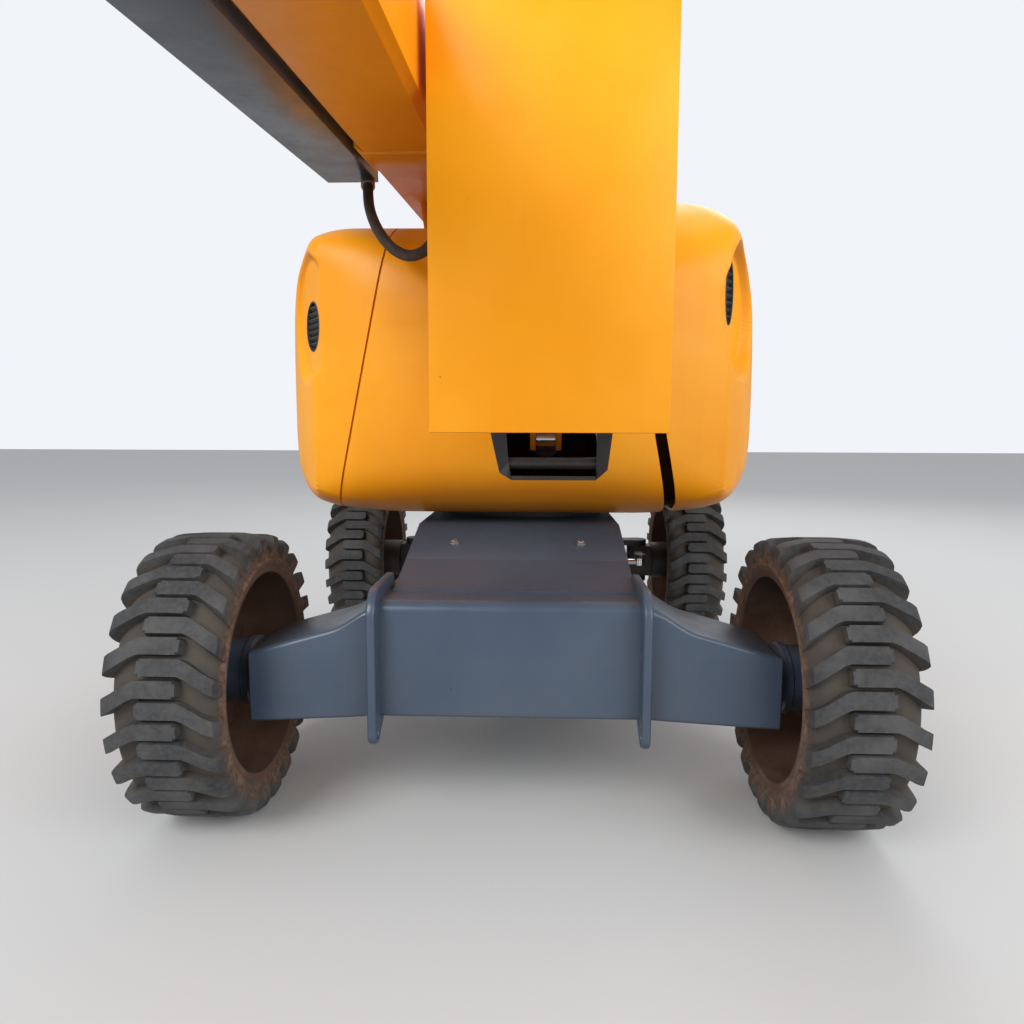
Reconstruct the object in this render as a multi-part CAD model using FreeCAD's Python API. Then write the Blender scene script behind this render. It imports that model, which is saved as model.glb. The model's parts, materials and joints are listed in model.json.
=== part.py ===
import FreeCAD, Part
import math
import os

# Articulating boom lift, all lengths in millimetres, +Z up.
# The model is laid out from the ground point under the fixed axle: X to the machine's right
# as seen from the platform end, Y towards the counterweight. shift_y then centres its length.
V = FreeCAD.Vector
X_AXIS = V(1, 0, 0)
Y_AXIS = V(0, 1, 0)
Z_AXIS = V(0, 0, 1)

# Clearances
PIN_GAP = 0.1          # round a hinge pin or shaft
SEAT_GAP = 0.3         # between faces that slide or rest on each other
SIDE_GAP = 6.0         # beside an arm, link or rod eye
PLATE = 15.0           # heavy plate of the knuckles and turret

# Wheels
TYRE_R = 463.0
TYRE_WIDTH = 330.0
TYRE_CROWN_DROP = 14.0     # tread edge below the crown
SEAT_R = 310.0             # where tyre and rim meet
RIM_WALL = 10.0
RIM_FLANGE = 14.0
BEAD_IN = 28.0             # tyre bead in from the sidewall
RIM_DISC_OFFSET = 45.0     # disc outboard of the wheel's middle
RIM_DISC_THICK = 16.0
HUB_R = 118.0
SPINDLE_R = 45.0
WHEEL_X = 985.0            # middle of a tyre
WHEELBASE = 2210.0
AXLE_Z = TYRE_R

# Fixed axle beam and its two lashing plates
BEAM_FRONT_Y = -200.0
BEAM_BACK_Y = 190.0
BEAM_TOP = 750.0
BEAM_BOTTOM = 385.0
ARM_KNEE_X = 540.0
ARM_KNEE_Z = 665.0
ARM_END_X = 822.0
ARM_END_TOP = 585.0
ARM_END_BOTTOM = 360.0
LASH_X = 410.0
LASH_THICK = 28.0
LASH_PROUD = 62.0
LASH_BOTTOM = 305.0
LASH_TOP = 792.0
LASH_HOLE_R = 20.0
LASH_HOLE_Z = 345.0

# Chassis box
BOX_HALF = 396.0
DECK_TOP = 900.0
RAMP_FRONT_Y = -30.0       # fold where the sloping plate starts
DECK_FRONT_Y = 510.0
DECK_BACK_Y = 1700.0
BOX_END_Y = 2390.0
BOX_BOTTOM = 430.0

# Steered axle
KINGPIN_X = 690.0
KINGPIN_R = 28.0
YOKE_HALF = 62.0           # half length of a yoke ear along Y
YOKE_EAR = 34.0            # ear thickness
YOKE_GAP = 190.0           # between the ears
YOKE_REACH = 125.0         # kingpin to the end of the axle tube
AXLE_END_HALF_Y = 56.0
AXLE_END_L = 130.0         # narrowed end of the axle tube
STEER_BEAM_HALF_Y = 85.0
STEER_BEAM_HALF_Z = 80.0
STEER_ARM_Y = 200.0        # tie rod pin and cylinder eye from the kingpin
STEER_ARM_HALF = 22.0
TIE_ROD_R = 17.0
TIE_ROD_Z = AXLE_Z - 60.0
STEER_CYL_X = 60.0         # barrel anchor
STEER_CYL_Z = AXLE_Z + 20.0

# Slew ring and turret
SLEW_Y = 1100.0
SLEW_R = 385.0
SLEW_INNER_R = 300.0
SLEW_OUTER_H = 30.0
TURRET_FLOOR = 955.0
FLOOR_THICK = 20.0
WING_THICK = 10.0
TURRET_LEFT = -165.0       # outer face of the left turret plate
TURRET_RIGHT = 375.0
TURRET_FRONT_Y = 360.0
TURRET_BACK_Y = 2005.0

# Arms in the middle channel
ARM_X = 105.0              # middle plane of the lower and upper arms
ARM_HALF = 160.0
ARM_HALF_H = 120.0
ARM_WALL = 10.0
LINK_THICK = 30.0
LINK_HALF_H = 32.0
LINK_GAP = 12.0
ARM_PIN_R = 36.0
LINK_PIN_R = 24.0
P1 = (1850.0, 1330.0)      # lower arm on the turret
P2 = (-200.0, 1480.0)      # lower arm on the front knuckle
P3 = (-200.0, 1985.0)      # upper arm on the front knuckle
P4 = (1850.0, 2085.0)      # upper arm on the rear knuckle
LOWER_LINK = (60.0, 152.0)     # link pins from the arm pins
UPPER_LINK = (-60.0, 152.0)

# Front knuckle, the tall panel with its two cheeks
PANEL_Y = -450.0
PANEL_LEFT = -213.0
PANEL_RIGHT = 418.0
PANEL_BOTTOM = 1265.0
PANEL_TOP = 2400.0
CHEEK_BACK_Y = -60.0

# Boom
BOOM_SLOPE = 5.5
P5 = (2200.0, 2480.0)      # boom pivot on the rear knuckle
BOOM_X = -375.0
BOOM_HALF = 140.0
BOOM_LOW = -118.0          # underside from the pivot, square to the boom
BOOM_HIGH = 182.0
BOOM_WALL = 8.0
BOOM_REAR = 90.0
BOOM_MOUTH = -3790.0
INNER_CLEAR = 22.0         # inner boom to outer boom wall
INNER_REAR = -250.0
INNER_NOSE = BOOM_MOUTH - 380.0
NOSE_PIN = (INNER_NOSE - 90.0, -20.0)
NOSE_PIN_R = 30.0
BOOM_PIN_R = 40.0
BAND_Y = (-2150.0, -1930.0)
BAND_PROUD = 8.0
TRAY_LEFT = -730.0
TRAY_GAP = 22.0
TRAY_REAR = -1710.0
TRAY_FRONT = BOOM_MOUTH + 120.0
TRAY_H = 110.0
TRAY_SETBACK = 2.0         # tray floor above the boom's underside

# Nose head, jib and platform mount
HEAD_X = -150.0            # middle plane of the jib
J1 = (-170.0, -150.0)      # jib pivot from the nose pin
HEAD_TUBE = (85.0, 70.0)   # cross tube from the jib pivot
HEAD_TUBE_R = 35.0
JIB_LINK = (0.0, 150.0)
JIB_ANGLE = -45.0
JIB_LENGTH = 1250.0
JIB_BEAM = 40.0
JIB_HALF = 100.0
JIB_BEAM_H = 62.0
JIB_PIN_R = 26.0
JIB_LINK_PIN_R = 15.0
JIB_LINK_HALF = 24.0
ROTATOR_Y = -175.0         # from the jib's end pin
ROTATOR_R = 70.0
ROTATOR_H = 330.0

# Basket
BASKET_W = 1800.0
BASKET_D = 800.0
BASKET_BACK = -175.0       # back face from the rotator axis
FLOOR_DROP = 520.0         # floor top below the jib's end pin
RAIL_H = 1100.0
RAIL_R = 19.0
TOE_H = 150.0
GATE_W = 560.0
GATE_POST = 90.0           # hinge post from the corner post

# Hose that hangs behind the panel, from the tray's end to a clamp under the boom
HOSE_R = 19.0
HOSE_POINTS = (
    (-562.0, 440.0, 2165.0), (-552.0, 392.0, 2100.0), (-525.0, 322.0, 2025.0), (-482.0, 248.0, 1948.0),
    (-428.0, 200.0, 1882.0), (-360.0, 182.0, 1850.0), (-292.0, 182.0, 1885.0), (-262.0, 185.0, 1975.0),
    (-258.0, 190.0, 2060.0), (-264.0, 198.0, 2128.0))

# Cylinders: barrel pin, rod pin, barrel radius, rod radius
RISER_BARREL = (1560.0, 1090.0)
RISER_ROD = (640.0, 1238.0)
BOOM_BARREL = (2110.0, 2150.0)
BOOM_ROD = (1000.0, 2165.0)
JIB_BARREL_AT = 760.0      # along the jib
JIB_ROD_DROP = 185.0       # below the jib pivot
JIB_ROD_BACK = -25.0       # and behind it

# Body covers
COVER_WALL = 10.0
COVER_FLOOR = 965.0
FRONT_Y = 300.0
HOOD_BACK_Y = 1900.0
HINGE_X = 1084.0           # hood hinge axis
HINGE_Y = HOOD_BACK_Y + 12.0
HINGE_R = 9.0
HINGE_Z = (1160.0, 1560.0)
LEFT_TOP = 2060.0
RIGHT_TOP = 2220.0
SEAM_LEFT = ((-470.0, 1960.0), (-640.0, 1015.0))
SEAM_RIGHT = ((478.0, 1960.0), (527.0, 1030.0))
SEAM_GAP_LEFT = 8.0
SEAM_GAP_RIGHT = 45.0
NOTCH_LOW = (-34.0, 290.0, 1085.0)
NOTCH_HIGH = (-125.0, 362.0, 1290.0)
TAIL_R = 1270.0            # counterweight's back from the slew axis
WEIGHT_TOP = 1700.0

def box(x0, x1, y0, y1, z0, z1):
    return Part.makeBox(x1 - x0, y1 - y0, z1 - z0, V(x0, y0, z0))


def prism_x(points, x0, x1):
    """Outline in the YZ plane, carried from x0 to x1."""
    ring = [V(x0, y, z) for y, z in points]
    face = Part.Face(Part.makePolygon(ring + ring[:1]))
    return face.extrude(V(x1 - x0, 0, 0))


def prism_y(points, y0, y1):
    ring = [V(x, y0, z) for x, z in points]
    face = Part.Face(Part.makePolygon(ring + ring[:1]))
    return face.extrude(V(0, y1 - y0, 0))


def prism_z(points, z0, z1):
    ring = [V(x, y, z0) for x, y in points]
    face = Part.Face(Part.makePolygon(ring + ring[:1]))
    return face.extrude(V(0, 0, z1 - z0))


def cyl_x(at, r, x0, x1):
    return Part.makeCylinder(r, x1 - x0, V(x0, at[0], at[1]), X_AXIS)


def cyl_z(x, y, r, z0, z1):
    return Part.makeCylinder(r, z1 - z0, V(x, y, z0), Z_AXIS)


def rod(a, b, r):
    a, b = V(*a), V(*b)
    return Part.makeCylinder(r, (b - a).Length, a, b - a)


def bar_x(a, b, half, x0, x1):
    """Round-ended flat bar between two pins, in the YZ plane."""
    ya, za = a
    yb, zb = b
    length = math.hypot(yb - ya, zb - za)
    ny, nz = -(zb - za) / length * half, (yb - ya) / length * half
    points = [(ya + ny, za + nz), (yb + ny, zb + nz), (yb - ny, zb - nz), (ya - ny, za - nz)]
    return fuse([prism_x(points, x0, x1), cyl_x(a, half, x0, x1), cyl_x(b, half, x0, x1)])


def fuse(shapes):
    first = shapes[0]
    return first.multiFuse(shapes[1:]).removeSplitter() if len(shapes) > 1 else first


def cut(shape, tools):
    return shape.cut(Part.makeCompound(tools)) if tools else shape


def plus(a, b):
    return (a[0] + b[0], a[1] + b[1])


def revolve_x(profile, x_mid, z_mid, y_mid):
    """Profile of (x, r) pairs turned round the X direction."""
    ring = [V(x_mid + x, y_mid, z_mid + r) for x, r in profile]
    face = Part.Face(Part.makePolygon(ring + ring[:1]))
    return face.revolve(V(x_mid, y_mid, z_mid), X_AXIS, 360)


def boom_point(s, h):
    """A point of the boom's own frame, s along it (forwards negative), h square to it."""
    a = math.radians(BOOM_SLOPE)
    return (P5[0] + s * math.cos(a) - h * math.sin(a), P5[1] + s * math.sin(a) + h * math.cos(a))


def tilt_boom(shape):
    """From the level frame at the boom pivot to the stowed slope."""
    moved = shape.copy()
    moved.translate(V(0, P5[0], P5[1]))
    moved.rotate(V(0, P5[0], P5[1]), X_AXIS, BOOM_SLOPE)
    return moved


# Wheels

def tyre(side, y):
    half = TYRE_WIDTH / 2
    edge = TYRE_R - TYRE_CROWN_DROP
    bead = BEAD_IN
    one = [(-half + bead, SEAT_R), (-half + bead, SEAT_R + 20), (-half + 6, SEAT_R + 34), (-half, SEAT_R + 60),
           (-half, edge - 45), (-half + 12, edge), (-half / 2, TYRE_R)]
    profile = one + [(-x, r) for x, r in reversed(one)]
    return revolve_x(profile, side * WHEEL_X, AXLE_Z, y)


def rim(side, y):
    half = TYRE_WIDTH / 2
    seat = SEAT_R - SEAT_GAP
    inner = seat - RIM_WALL
    d0 = RIM_DISC_OFFSET
    d1 = d0 + RIM_DISC_THICK
    bore = SPINDLE_R + PIN_GAP
    lip, bead = BEAD_IN - 12, BEAD_IN - SEAT_GAP
    profile = [(-half + lip, inner), (-half + lip, seat + RIM_FLANGE), (-half + bead, seat + RIM_FLANGE),
               (-half + bead, seat), (half - bead, seat), (half - bead, seat + RIM_FLANGE),
               (half - lip, seat + RIM_FLANGE), (half - lip, inner), (d1 + 20, inner),
               (d1, inner - 60), (d1, HUB_R), (half - 30, HUB_R - 20), (half - 30, bore),
               (d0 - 30, bore), (d0 - 30, HUB_R), (d0, HUB_R + 20), (d0, inner - 60),
               (d0 + 14, inner)]
    if side < 0:
        profile = [(-x, r) for x, r in profile]
    return revolve_x(profile, side * WHEEL_X, AXLE_Z, y)


def spindle(side, y, start_x):
    """Drive motor and spindle that carry a wheel, outboard from start_x."""
    end = WHEEL_X + TYRE_WIDTH / 2 - 35
    flange = WHEEL_X + RIM_DISC_OFFSET - 30 - SEAT_GAP
    solids = [rod((side * start_x, y, AXLE_Z), (side * flange, y, AXLE_Z), HUB_R - 8),
              rod((side * start_x, y, AXLE_Z), (side * end, y, AXLE_Z), SPINDLE_R)]
    return fuse(solids)


# Chassis

def front_axle():
    y0, y1 = BEAM_FRONT_Y, BEAM_BACK_Y
    slope = [(-LASH_X, BEAM_TOP), (-ARM_KNEE_X, ARM_KNEE_Z), (-ARM_END_X, ARM_END_TOP),
             (-ARM_END_X, ARM_END_BOTTOM), (-LASH_X, BEAM_BOTTOM)]
    outline = slope + [(-x, z) for x, z in reversed(slope)]
    beam = prism_y(outline, y0, y1)
    arms_back = [box(-ARM_END_X - 1, -LASH_X - 60, y1 - 60, y1 + 1, 300, 800),
                 box(LASH_X + 60, ARM_END_X + 1, y1 - 60, y1 + 1, 300, 800)]
    beam = cut(beam, arms_back)
    ramp = prism_x([(RAMP_FRONT_Y, BEAM_TOP - 1), (RAMP_FRONT_Y, BEAM_TOP), (y1, ramp_z(y1)), (y1, BEAM_TOP - 1)],
                   -BOX_HALF, BOX_HALF)
    solids = [beam, ramp]
    for side in (-1, 1):
        x = side * LASH_X
        solids.append(lash_plate(x, y0 - LASH_PROUD, 60.0))
        solids.append(spindle(side, 0.0, ARM_END_X - 40))
    axle = fuse(solids)
    holes = [cyl_x((y0 - LASH_PROUD + 32, LASH_HOLE_Z), LASH_HOLE_R, -500, 500)]
    return cut(axle, holes)


def lash_plate(x, y_edge, y_back):
    """Vertical plate with a rounded foot, its front edge at y_edge."""
    r = 34.0
    points = [(y_edge, LASH_HOLE_Z), (y_edge, LASH_TOP - 60), (y_edge + 90, LASH_TOP), (y_back, LASH_TOP),
              (y_back, LASH_BOTTOM + 80), (y_edge + 2 * r, LASH_HOLE_Z)]
    plate = prism_x(points, x - LASH_THICK / 2, x + LASH_THICK / 2)
    foot = cyl_x((y_edge + r, LASH_HOLE_Z), r, x - LASH_THICK / 2, x + LASH_THICK / 2)
    return fuse([plate, foot])


def ramp_z(y):
    """Height of the plate that slopes up from the axle beam to the deck."""
    return BEAM_TOP + (DECK_TOP - BEAM_TOP) * (y - RAMP_FRONT_Y) / (DECK_FRONT_Y - RAMP_FRONT_Y)


def chassis_frame():
    seat_y = BEAM_BACK_Y + SEAT_GAP
    side = [(seat_y, BOX_BOTTOM), (seat_y, ramp_z(seat_y)),
            (DECK_FRONT_Y, DECK_TOP), (DECK_BACK_Y, DECK_TOP), (WHEELBASE - 120, AXLE_Z + 190),
            (BOX_END_Y, AXLE_Z + 190), (BOX_END_Y, AXLE_Z + STEER_BEAM_HALF_Z + SEAT_GAP),
            (WHEELBASE - 245, AXLE_Z + STEER_BEAM_HALF_Z + SEAT_GAP), (WHEELBASE - 300, BOX_BOTTOM)]
    body = prism_x(side, -BOX_HALF, BOX_HALF)
    taper = [prism_z([(s * (BOX_HALF + 1), WHEELBASE - 520), (s * (BOX_HALF + 1), BOX_END_Y + 1),
                      (s * 280, BOX_END_Y + 1), (s * 280, WHEELBASE - 380)], 300, DECK_TOP + 1)
             for s in (-1, 1)]
    lugs = [fuse([box(s * 230 - 14, s * 230 + 14, BOX_END_Y - 60, BOX_END_Y + 50, 560, 640),
                  cyl_x((BOX_END_Y + 50, 600), 40, s * 230 - 14, s * 230 + 14)]) for s in (-1, 1)]
    holes = [cyl_x((BOX_END_Y + 50, 600), LASH_HOLE_R, -300, 300)]
    return cut(fuse([cut(body, taper)] + lugs), holes)


def rear_axle():
    z0, z1 = AXLE_Z - STEER_BEAM_HALF_Z, AXLE_Z + STEER_BEAM_HALF_Z
    inner = KINGPIN_X - YOKE_REACH
    half, end = STEER_BEAM_HALF_Y, AXLE_END_HALF_Y
    corner = [(inner - AXLE_END_L, half), (inner - AXLE_END_L / 2, end), (inner, end)]
    plan = corner + [(x, -y) for x, y in reversed(corner)]
    plan += [(-x, y) for x, y in reversed(plan)]
    beam = prism_z([(x, WHEELBASE + y) for x, y in plan], z0, z1)
    solids = [beam]
    for side in (-1, 1):
        xs = sorted((side * (inner - 40), side * (KINGPIN_X + 10)))
        for z in (AXLE_Z + YOKE_GAP / 2, AXLE_Z - YOKE_GAP / 2 - YOKE_EAR):
            solids.append(box(xs[0], xs[1], WHEELBASE - AXLE_END_HALF_Y, WHEELBASE + AXLE_END_HALF_Y,
                              z, z + YOKE_EAR))
            solids.append(cyl_z(side * KINGPIN_X, WHEELBASE, YOKE_HALF, z, z + YOKE_EAR))
        cheek = sorted((side * (inner - 40), side * inner))
        solids.append(box(cheek[0], cheek[1], WHEELBASE - AXLE_END_HALF_Y, WHEELBASE + AXLE_END_HALF_Y,
                          AXLE_Z - YOKE_GAP / 2 - YOKE_EAR, AXLE_Z + YOKE_GAP / 2 + YOKE_EAR))
        solids.append(cyl_z(side * KINGPIN_X, WHEELBASE, KINGPIN_R,
                            AXLE_Z - YOKE_GAP / 2 - YOKE_EAR, AXLE_Z + YOKE_GAP / 2 + YOKE_EAR))
    lug_y = WHEELBASE - STEER_BEAM_HALF_Y
    for z in (STEER_CYL_Z - 42, STEER_CYL_Z + 24):
        solids.append(box(STEER_CYL_X - 30, STEER_CYL_X + 30, lug_y - 130, lug_y + 10, z, z + 18))
    solids.append(cyl_z(STEER_CYL_X, lug_y - 95, 14, STEER_CYL_Z - 42, STEER_CYL_Z + 42))
    return fuse(solids)


def knuckle(side):
    """Steering knuckle with its arms and the hub drive."""
    half = YOKE_GAP / 2 - SIDE_GAP / 2
    x = side * KINGPIN_X
    solids = [cyl_z(x, WHEELBASE, 58, AXLE_Z - half, AXLE_Z + half)]
    xs = sorted((x, side * (KINGPIN_X + 110)))
    solids.append(box(xs[0], xs[1], WHEELBASE - 58, WHEELBASE + 58, AXLE_Z - half, AXLE_Z + half))
    solids.append(spindle(side, WHEELBASE, KINGPIN_X + 90))
    pin_y = WHEELBASE + STEER_ARM_Y
    arm_z = TIE_ROD_Z + 22
    half = STEER_ARM_HALF
    solids.append(box(x - half, x + half, WHEELBASE, pin_y, arm_z, arm_z + 24))
    solids.append(cyl_z(x, pin_y, 32, arm_z, arm_z + 24))
    solids.append(cyl_z(x, pin_y, 12, TIE_ROD_Z - 24, arm_z + 4))
    if side > 0:
        front_y = WHEELBASE - STEER_ARM_Y
        solids.append(box(x - half, x + half, front_y, WHEELBASE, STEER_CYL_Z + 24, STEER_CYL_Z + 46))
        solids.append(cyl_z(x, front_y, 32, STEER_CYL_Z + 24, STEER_CYL_Z + 46))
    bore = cyl_z(x, WHEELBASE, KINGPIN_R + PIN_GAP, AXLE_Z - 200, AXLE_Z + 200)
    return cut(fuse(solids), [bore])


def tie_rod():
    end = KINGPIN_X
    y = WHEELBASE + STEER_ARM_Y
    solids = [rod((-end + 20, y, TIE_ROD_Z), (end - 20, y, TIE_ROD_Z), TIE_ROD_R)]
    solids += [cyl_z(s * end, y, 30, TIE_ROD_Z - 20, TIE_ROD_Z + 20) for s in (-1, 1)]
    bores = [cyl_z(s * end, y, 12 + PIN_GAP, TIE_ROD_Z - 50, TIE_ROD_Z + 50) for s in (-1, 1)]
    return cut(fuse(solids), bores)


def slew_ring():
    ring = cyl_z(0, SLEW_Y, SLEW_R, DECK_TOP, DECK_TOP + SLEW_OUTER_H)
    return cut(ring, [cyl_z(0, SLEW_Y, SLEW_INNER_R, DECK_TOP - 1, TURRET_FLOOR)])


# Cylinders

def split_axis(a, b):
    length = math.hypot(b[0] - a[0], b[1] - a[1])
    return ((b[0] - a[0]) / length, (b[1] - a[1]) / length, length)


def along(a, u, d):
    return (a[0] + u[0] * d, a[1] + u[1] * d)


def turned(profile, x, a, u):
    """Profile of (distance, radius) pairs turned round a cylinder's own axis."""
    ring = [V(x, a[0] + u[0] * d - u[1] * r, a[1] + u[1] * d + u[0] * r) for d, r in profile]
    face = Part.Face(Part.makePolygon(ring + ring[:1]))
    return face.revolve(V(x, a[0], a[1]), V(0, u[0], u[1]), 360)


def barrel_yz(a, b, x, r, rod_r, eye_w, pin_r, share, lip):
    """Cylinder barrel from its pin eye a towards b, hollow for the rod, with a lip at its gland."""
    u = split_axis(a, b)
    start, end = pin_r * 2 + 20, u[2] * share
    bore = rod_r + SEAT_GAP
    profile = [(0, 0), (0, eye_w / 2 - 3), (start, eye_w / 2 - 3), (start, r), (end - 40, r),
               (end - 40, r + lip), (end, r + lip), (end, bore), (start + 20, bore), (start + 20, 0)]
    eye = cyl_x(a, pin_r * 2, x - eye_w / 2, x + eye_w / 2)
    return cut(fuse([turned(profile, x, a, u), eye]), [cyl_x(a, pin_r + PIN_GAP, x - 200, x + 200)])


def rod_yz(a, b, x, rod_r, eye_w, pin_r, start):
    """Piston rod that ends in an eye at b."""
    u = split_axis(a, b)
    s = along(a, u, start)
    e = along(a, u, u[2] - pin_r)
    solids = [rod((x, s[0], s[1]), (x, e[0], e[1]), rod_r), cyl_x(b, pin_r * 2, x - eye_w / 2, x + eye_w / 2)]
    return fuse(solids)


def jib_barrel_pin():
    a = math.radians(JIB_ANGLE)
    j = jib_pivot()
    return (j[0] - JIB_BARREL_AT * math.cos(a), j[1] + JIB_BARREL_AT * math.sin(a))


def jib_rod_pin():
    j = jib_pivot()
    return (j[0] + JIB_ROD_BACK, j[1] - JIB_ROD_DROP)


def steer_points():
    barrel = (STEER_CYL_X, WHEELBASE - STEER_BEAM_HALF_Y - 95)
    eye = (KINGPIN_X, WHEELBASE - STEER_ARM_Y)
    return barrel, eye


def steer_barrel():
    a, b = steer_points()
    u = split_axis(a, b)
    s, e = along(a, u, 48), along(a, u, 330)
    solids = [rod((s[0], s[1], STEER_CYL_Z), (e[0], e[1], STEER_CYL_Z), 30),
              rod((a[0], a[1], STEER_CYL_Z), (s[0], s[1], STEER_CYL_Z), 18),
              cyl_z(a[0], a[1], 28, STEER_CYL_Z - 22, STEER_CYL_Z + 22)]
    h = along(a, u, 60)
    p = along(a, u, 340)
    return cut(fuse(solids), [rod((h[0], h[1], STEER_CYL_Z), (p[0], p[1], STEER_CYL_Z), 16 + SEAT_GAP),
                              cyl_z(a[0], a[1], 14 + PIN_GAP, STEER_CYL_Z - 60, STEER_CYL_Z + 60)])


def steer_rod():
    a, b = steer_points()
    u = split_axis(a, b)
    s, e = along(a, u, 220), along(a, u, u[2] - 10)
    return fuse([rod((s[0], s[1], STEER_CYL_Z), (e[0], e[1], STEER_CYL_Z), 16),
                 cyl_z(b[0], b[1], 26, STEER_CYL_Z - 20, STEER_CYL_Z + 24 - SEAT_GAP)])


# Turret

def turret_frame():
    z0, z1 = TURRET_FLOOR, TURRET_FLOOR + FLOOR_THICK
    toe_y = TURRET_FRONT_Y + 290
    floor = box(TURRET_LEFT, TURRET_RIGHT, toe_y, TURRET_BACK_Y, z0, z1)
    disc = cyl_z(0, SLEW_Y, SLEW_R + 20, z0, z1)
    neck = cut(cyl_z(0, SLEW_Y, SLEW_R - 20, DECK_TOP + SLEW_OUTER_H + SEAT_GAP, z0),
               [cyl_z(0, SLEW_Y, SLEW_INNER_R, DECK_TOP, z0 + 1)])
    side = [(toe_y, z0), (TURRET_FRONT_Y + 80, 1060), (TURRET_FRONT_Y, 1140), (TURRET_FRONT_Y, 1215),
            (1250, 1215), (P1[0] - 230, 1400),
            (P1[0] - 110, P1[1] + LOWER_LINK[1] + 90), (TURRET_BACK_Y, P1[1] + LOWER_LINK[1] + 90),
            (TURRET_BACK_Y, z0)]
    solids = [floor, disc, neck]
    solids.append(prism_x(side, TURRET_LEFT, TURRET_LEFT + PLATE))
    solids.append(prism_x(side, TURRET_RIGHT - PLATE, TURRET_RIGHT))
    solids.append(box(TURRET_LEFT, TURRET_RIGHT, TURRET_BACK_Y - PLATE, TURRET_BACK_Y, z0, 1500))
    solids.append(cyl_x((TURRET_FRONT_Y + 40, 1165), 22, TURRET_LEFT + 5, TURRET_RIGHT - 5))
    wings = box(-1100, 1100, FRONT_Y, HOOD_BACK_Y - 10, z0 + 12, z0 + 12 + WING_THICK)
    solids.append(wings.common(cover_form(COVER_WALL + 2.5 * SIDE_GAP, LEFT_TOP)))
    q1 = plus(P1, LOWER_LINK)
    left_in, right_in = TURRET_LEFT + PLATE, TURRET_RIGHT - PLATE
    solids.append(cyl_x(P1, ARM_PIN_R, TURRET_LEFT - 15, TURRET_RIGHT + 15))
    for x0, x1 in ((left_in, link_x(-1)[1]), (link_x(1)[0], right_in)):
        solids.append(cyl_x(q1, LINK_PIN_R, x0 - 5, x1 + 5))
    solids += riser_ears()
    return fuse(solids)


def riser_ears():
    a = RISER_BARREL
    points = [(a[0] - 60, TURRET_FLOOR + 5), (a[0] - 50, a[1] + 20), (a[0] - 20, a[1] + 50),
              (a[0] + 20, a[1] + 50), (a[0] + 50, a[1] + 20), (a[0] + 60, TURRET_FLOOR + 5)]
    ears = [prism_x(points, ARM_X + s * 52 - 11, ARM_X + s * 52 + 11) for s in (-1, 1)]
    return ears + [cyl_x(a, 28, ARM_X - 75, ARM_X + 75)]


def link_x(side):
    """Low and high x of the link bar on one side of an arm."""
    near = ARM_X + side * (ARM_HALF + LINK_GAP)
    far = near + side * LINK_THICK
    return (min(near, far), max(near, far))


def arm(a, b, lug=None):
    """Box arm between two pins, with cross tubes for them."""
    x0, x1 = ARM_X - ARM_HALF, ARM_X + ARM_HALF
    body = bar_x(a, b, ARM_HALF_H, x0, x1)
    hollow = bar_x(a, b, ARM_HALF_H - ARM_WALL, x0 + ARM_WALL, x1 - ARM_WALL)
    tubes = [cyl_x(p, ARM_PIN_R + 22, x0, x1) for p in (a, b)]
    solids = [cut(body, [hollow])] + tubes
    if lug:
        y, z = lug
        t = (y - b[0]) / (a[0] - b[0])
        under = b[1] + (a[1] - b[1]) * t - ARM_HALF_H
        points = [(y - 110, under + 6), (y - 45, z - 20), (y - 20, z - 50), (y + 20, z - 50),
                  (y + 45, z - 20), (y + 110, under + 3)]
        solids += [prism_x(points, ARM_X + s * 52 - 11, ARM_X + s * 52 + 11) for s in (-1, 1)]
    return cut(fuse(solids), [cyl_x(p, ARM_PIN_R + PIN_GAP, x0 - 5, x1 + 5) for p in (a, b)])


def link_pair(a, b):
    """The two link bars that keep a knuckle upright, one beside each face of the arm."""
    bars = []
    for side in (-1, 1):
        x0, x1 = link_x(side)
        bar = bar_x(a, b, LINK_HALF_H + 8, x0, x1)
        bars.append(cut(bar, [cyl_x(p, LINK_PIN_R + PIN_GAP, x0 - 1, x1 + 1) for p in (a, b)]))
    return Part.makeCompound(bars)


def front_knuckle():
    y0, y1 = PANEL_Y, CHEEK_BACK_Y
    panel = box(PANEL_LEFT, PANEL_RIGHT, y0, y0 + 12, PANEL_BOTTOM, PANEL_TOP)
    cheek = [(y0, PANEL_BOTTOM), (y0, PANEL_TOP), (y0 + 190, PANEL_TOP), (y1, P3[1] + 190),
             (y1, P2[1] - 60), (y1 - 110, PANEL_BOTTOM)]
    solids = [panel, prism_x(cheek, PANEL_LEFT, PANEL_LEFT + PLATE),
              prism_x(cheek, PANEL_RIGHT - PLATE, PANEL_RIGHT)]
    left, right = PANEL_LEFT + PLATE, PANEL_RIGHT - PLATE
    for pin, link in ((P2, LOWER_LINK), (P3, UPPER_LINK)):
        solids.append(cyl_x(pin, ARM_PIN_R, PANEL_LEFT - 0, PANEL_RIGHT + 0))
        for x0, x1 in ((left - 5, link_x(-1)[1] + 5), (link_x(1)[0] - 5, right + 5)):
            solids.append(cyl_x(plus(pin, link), LINK_PIN_R, x0, x1))
        for x0, x1 in ((left, link_x(-1)[0] - SEAT_GAP), (link_x(1)[1] + SEAT_GAP, right)):
            solids.append(cyl_x(plus(pin, link), LINK_PIN_R + 16, x0, x1))
            solids.append(cyl_x(pin, ARM_PIN_R + 22, x0, x1))
    solids.append(box(left - 5, right + 5, y0 + 6, y0 + 70, 1730, 1745))
    return fuse(solids)


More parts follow.
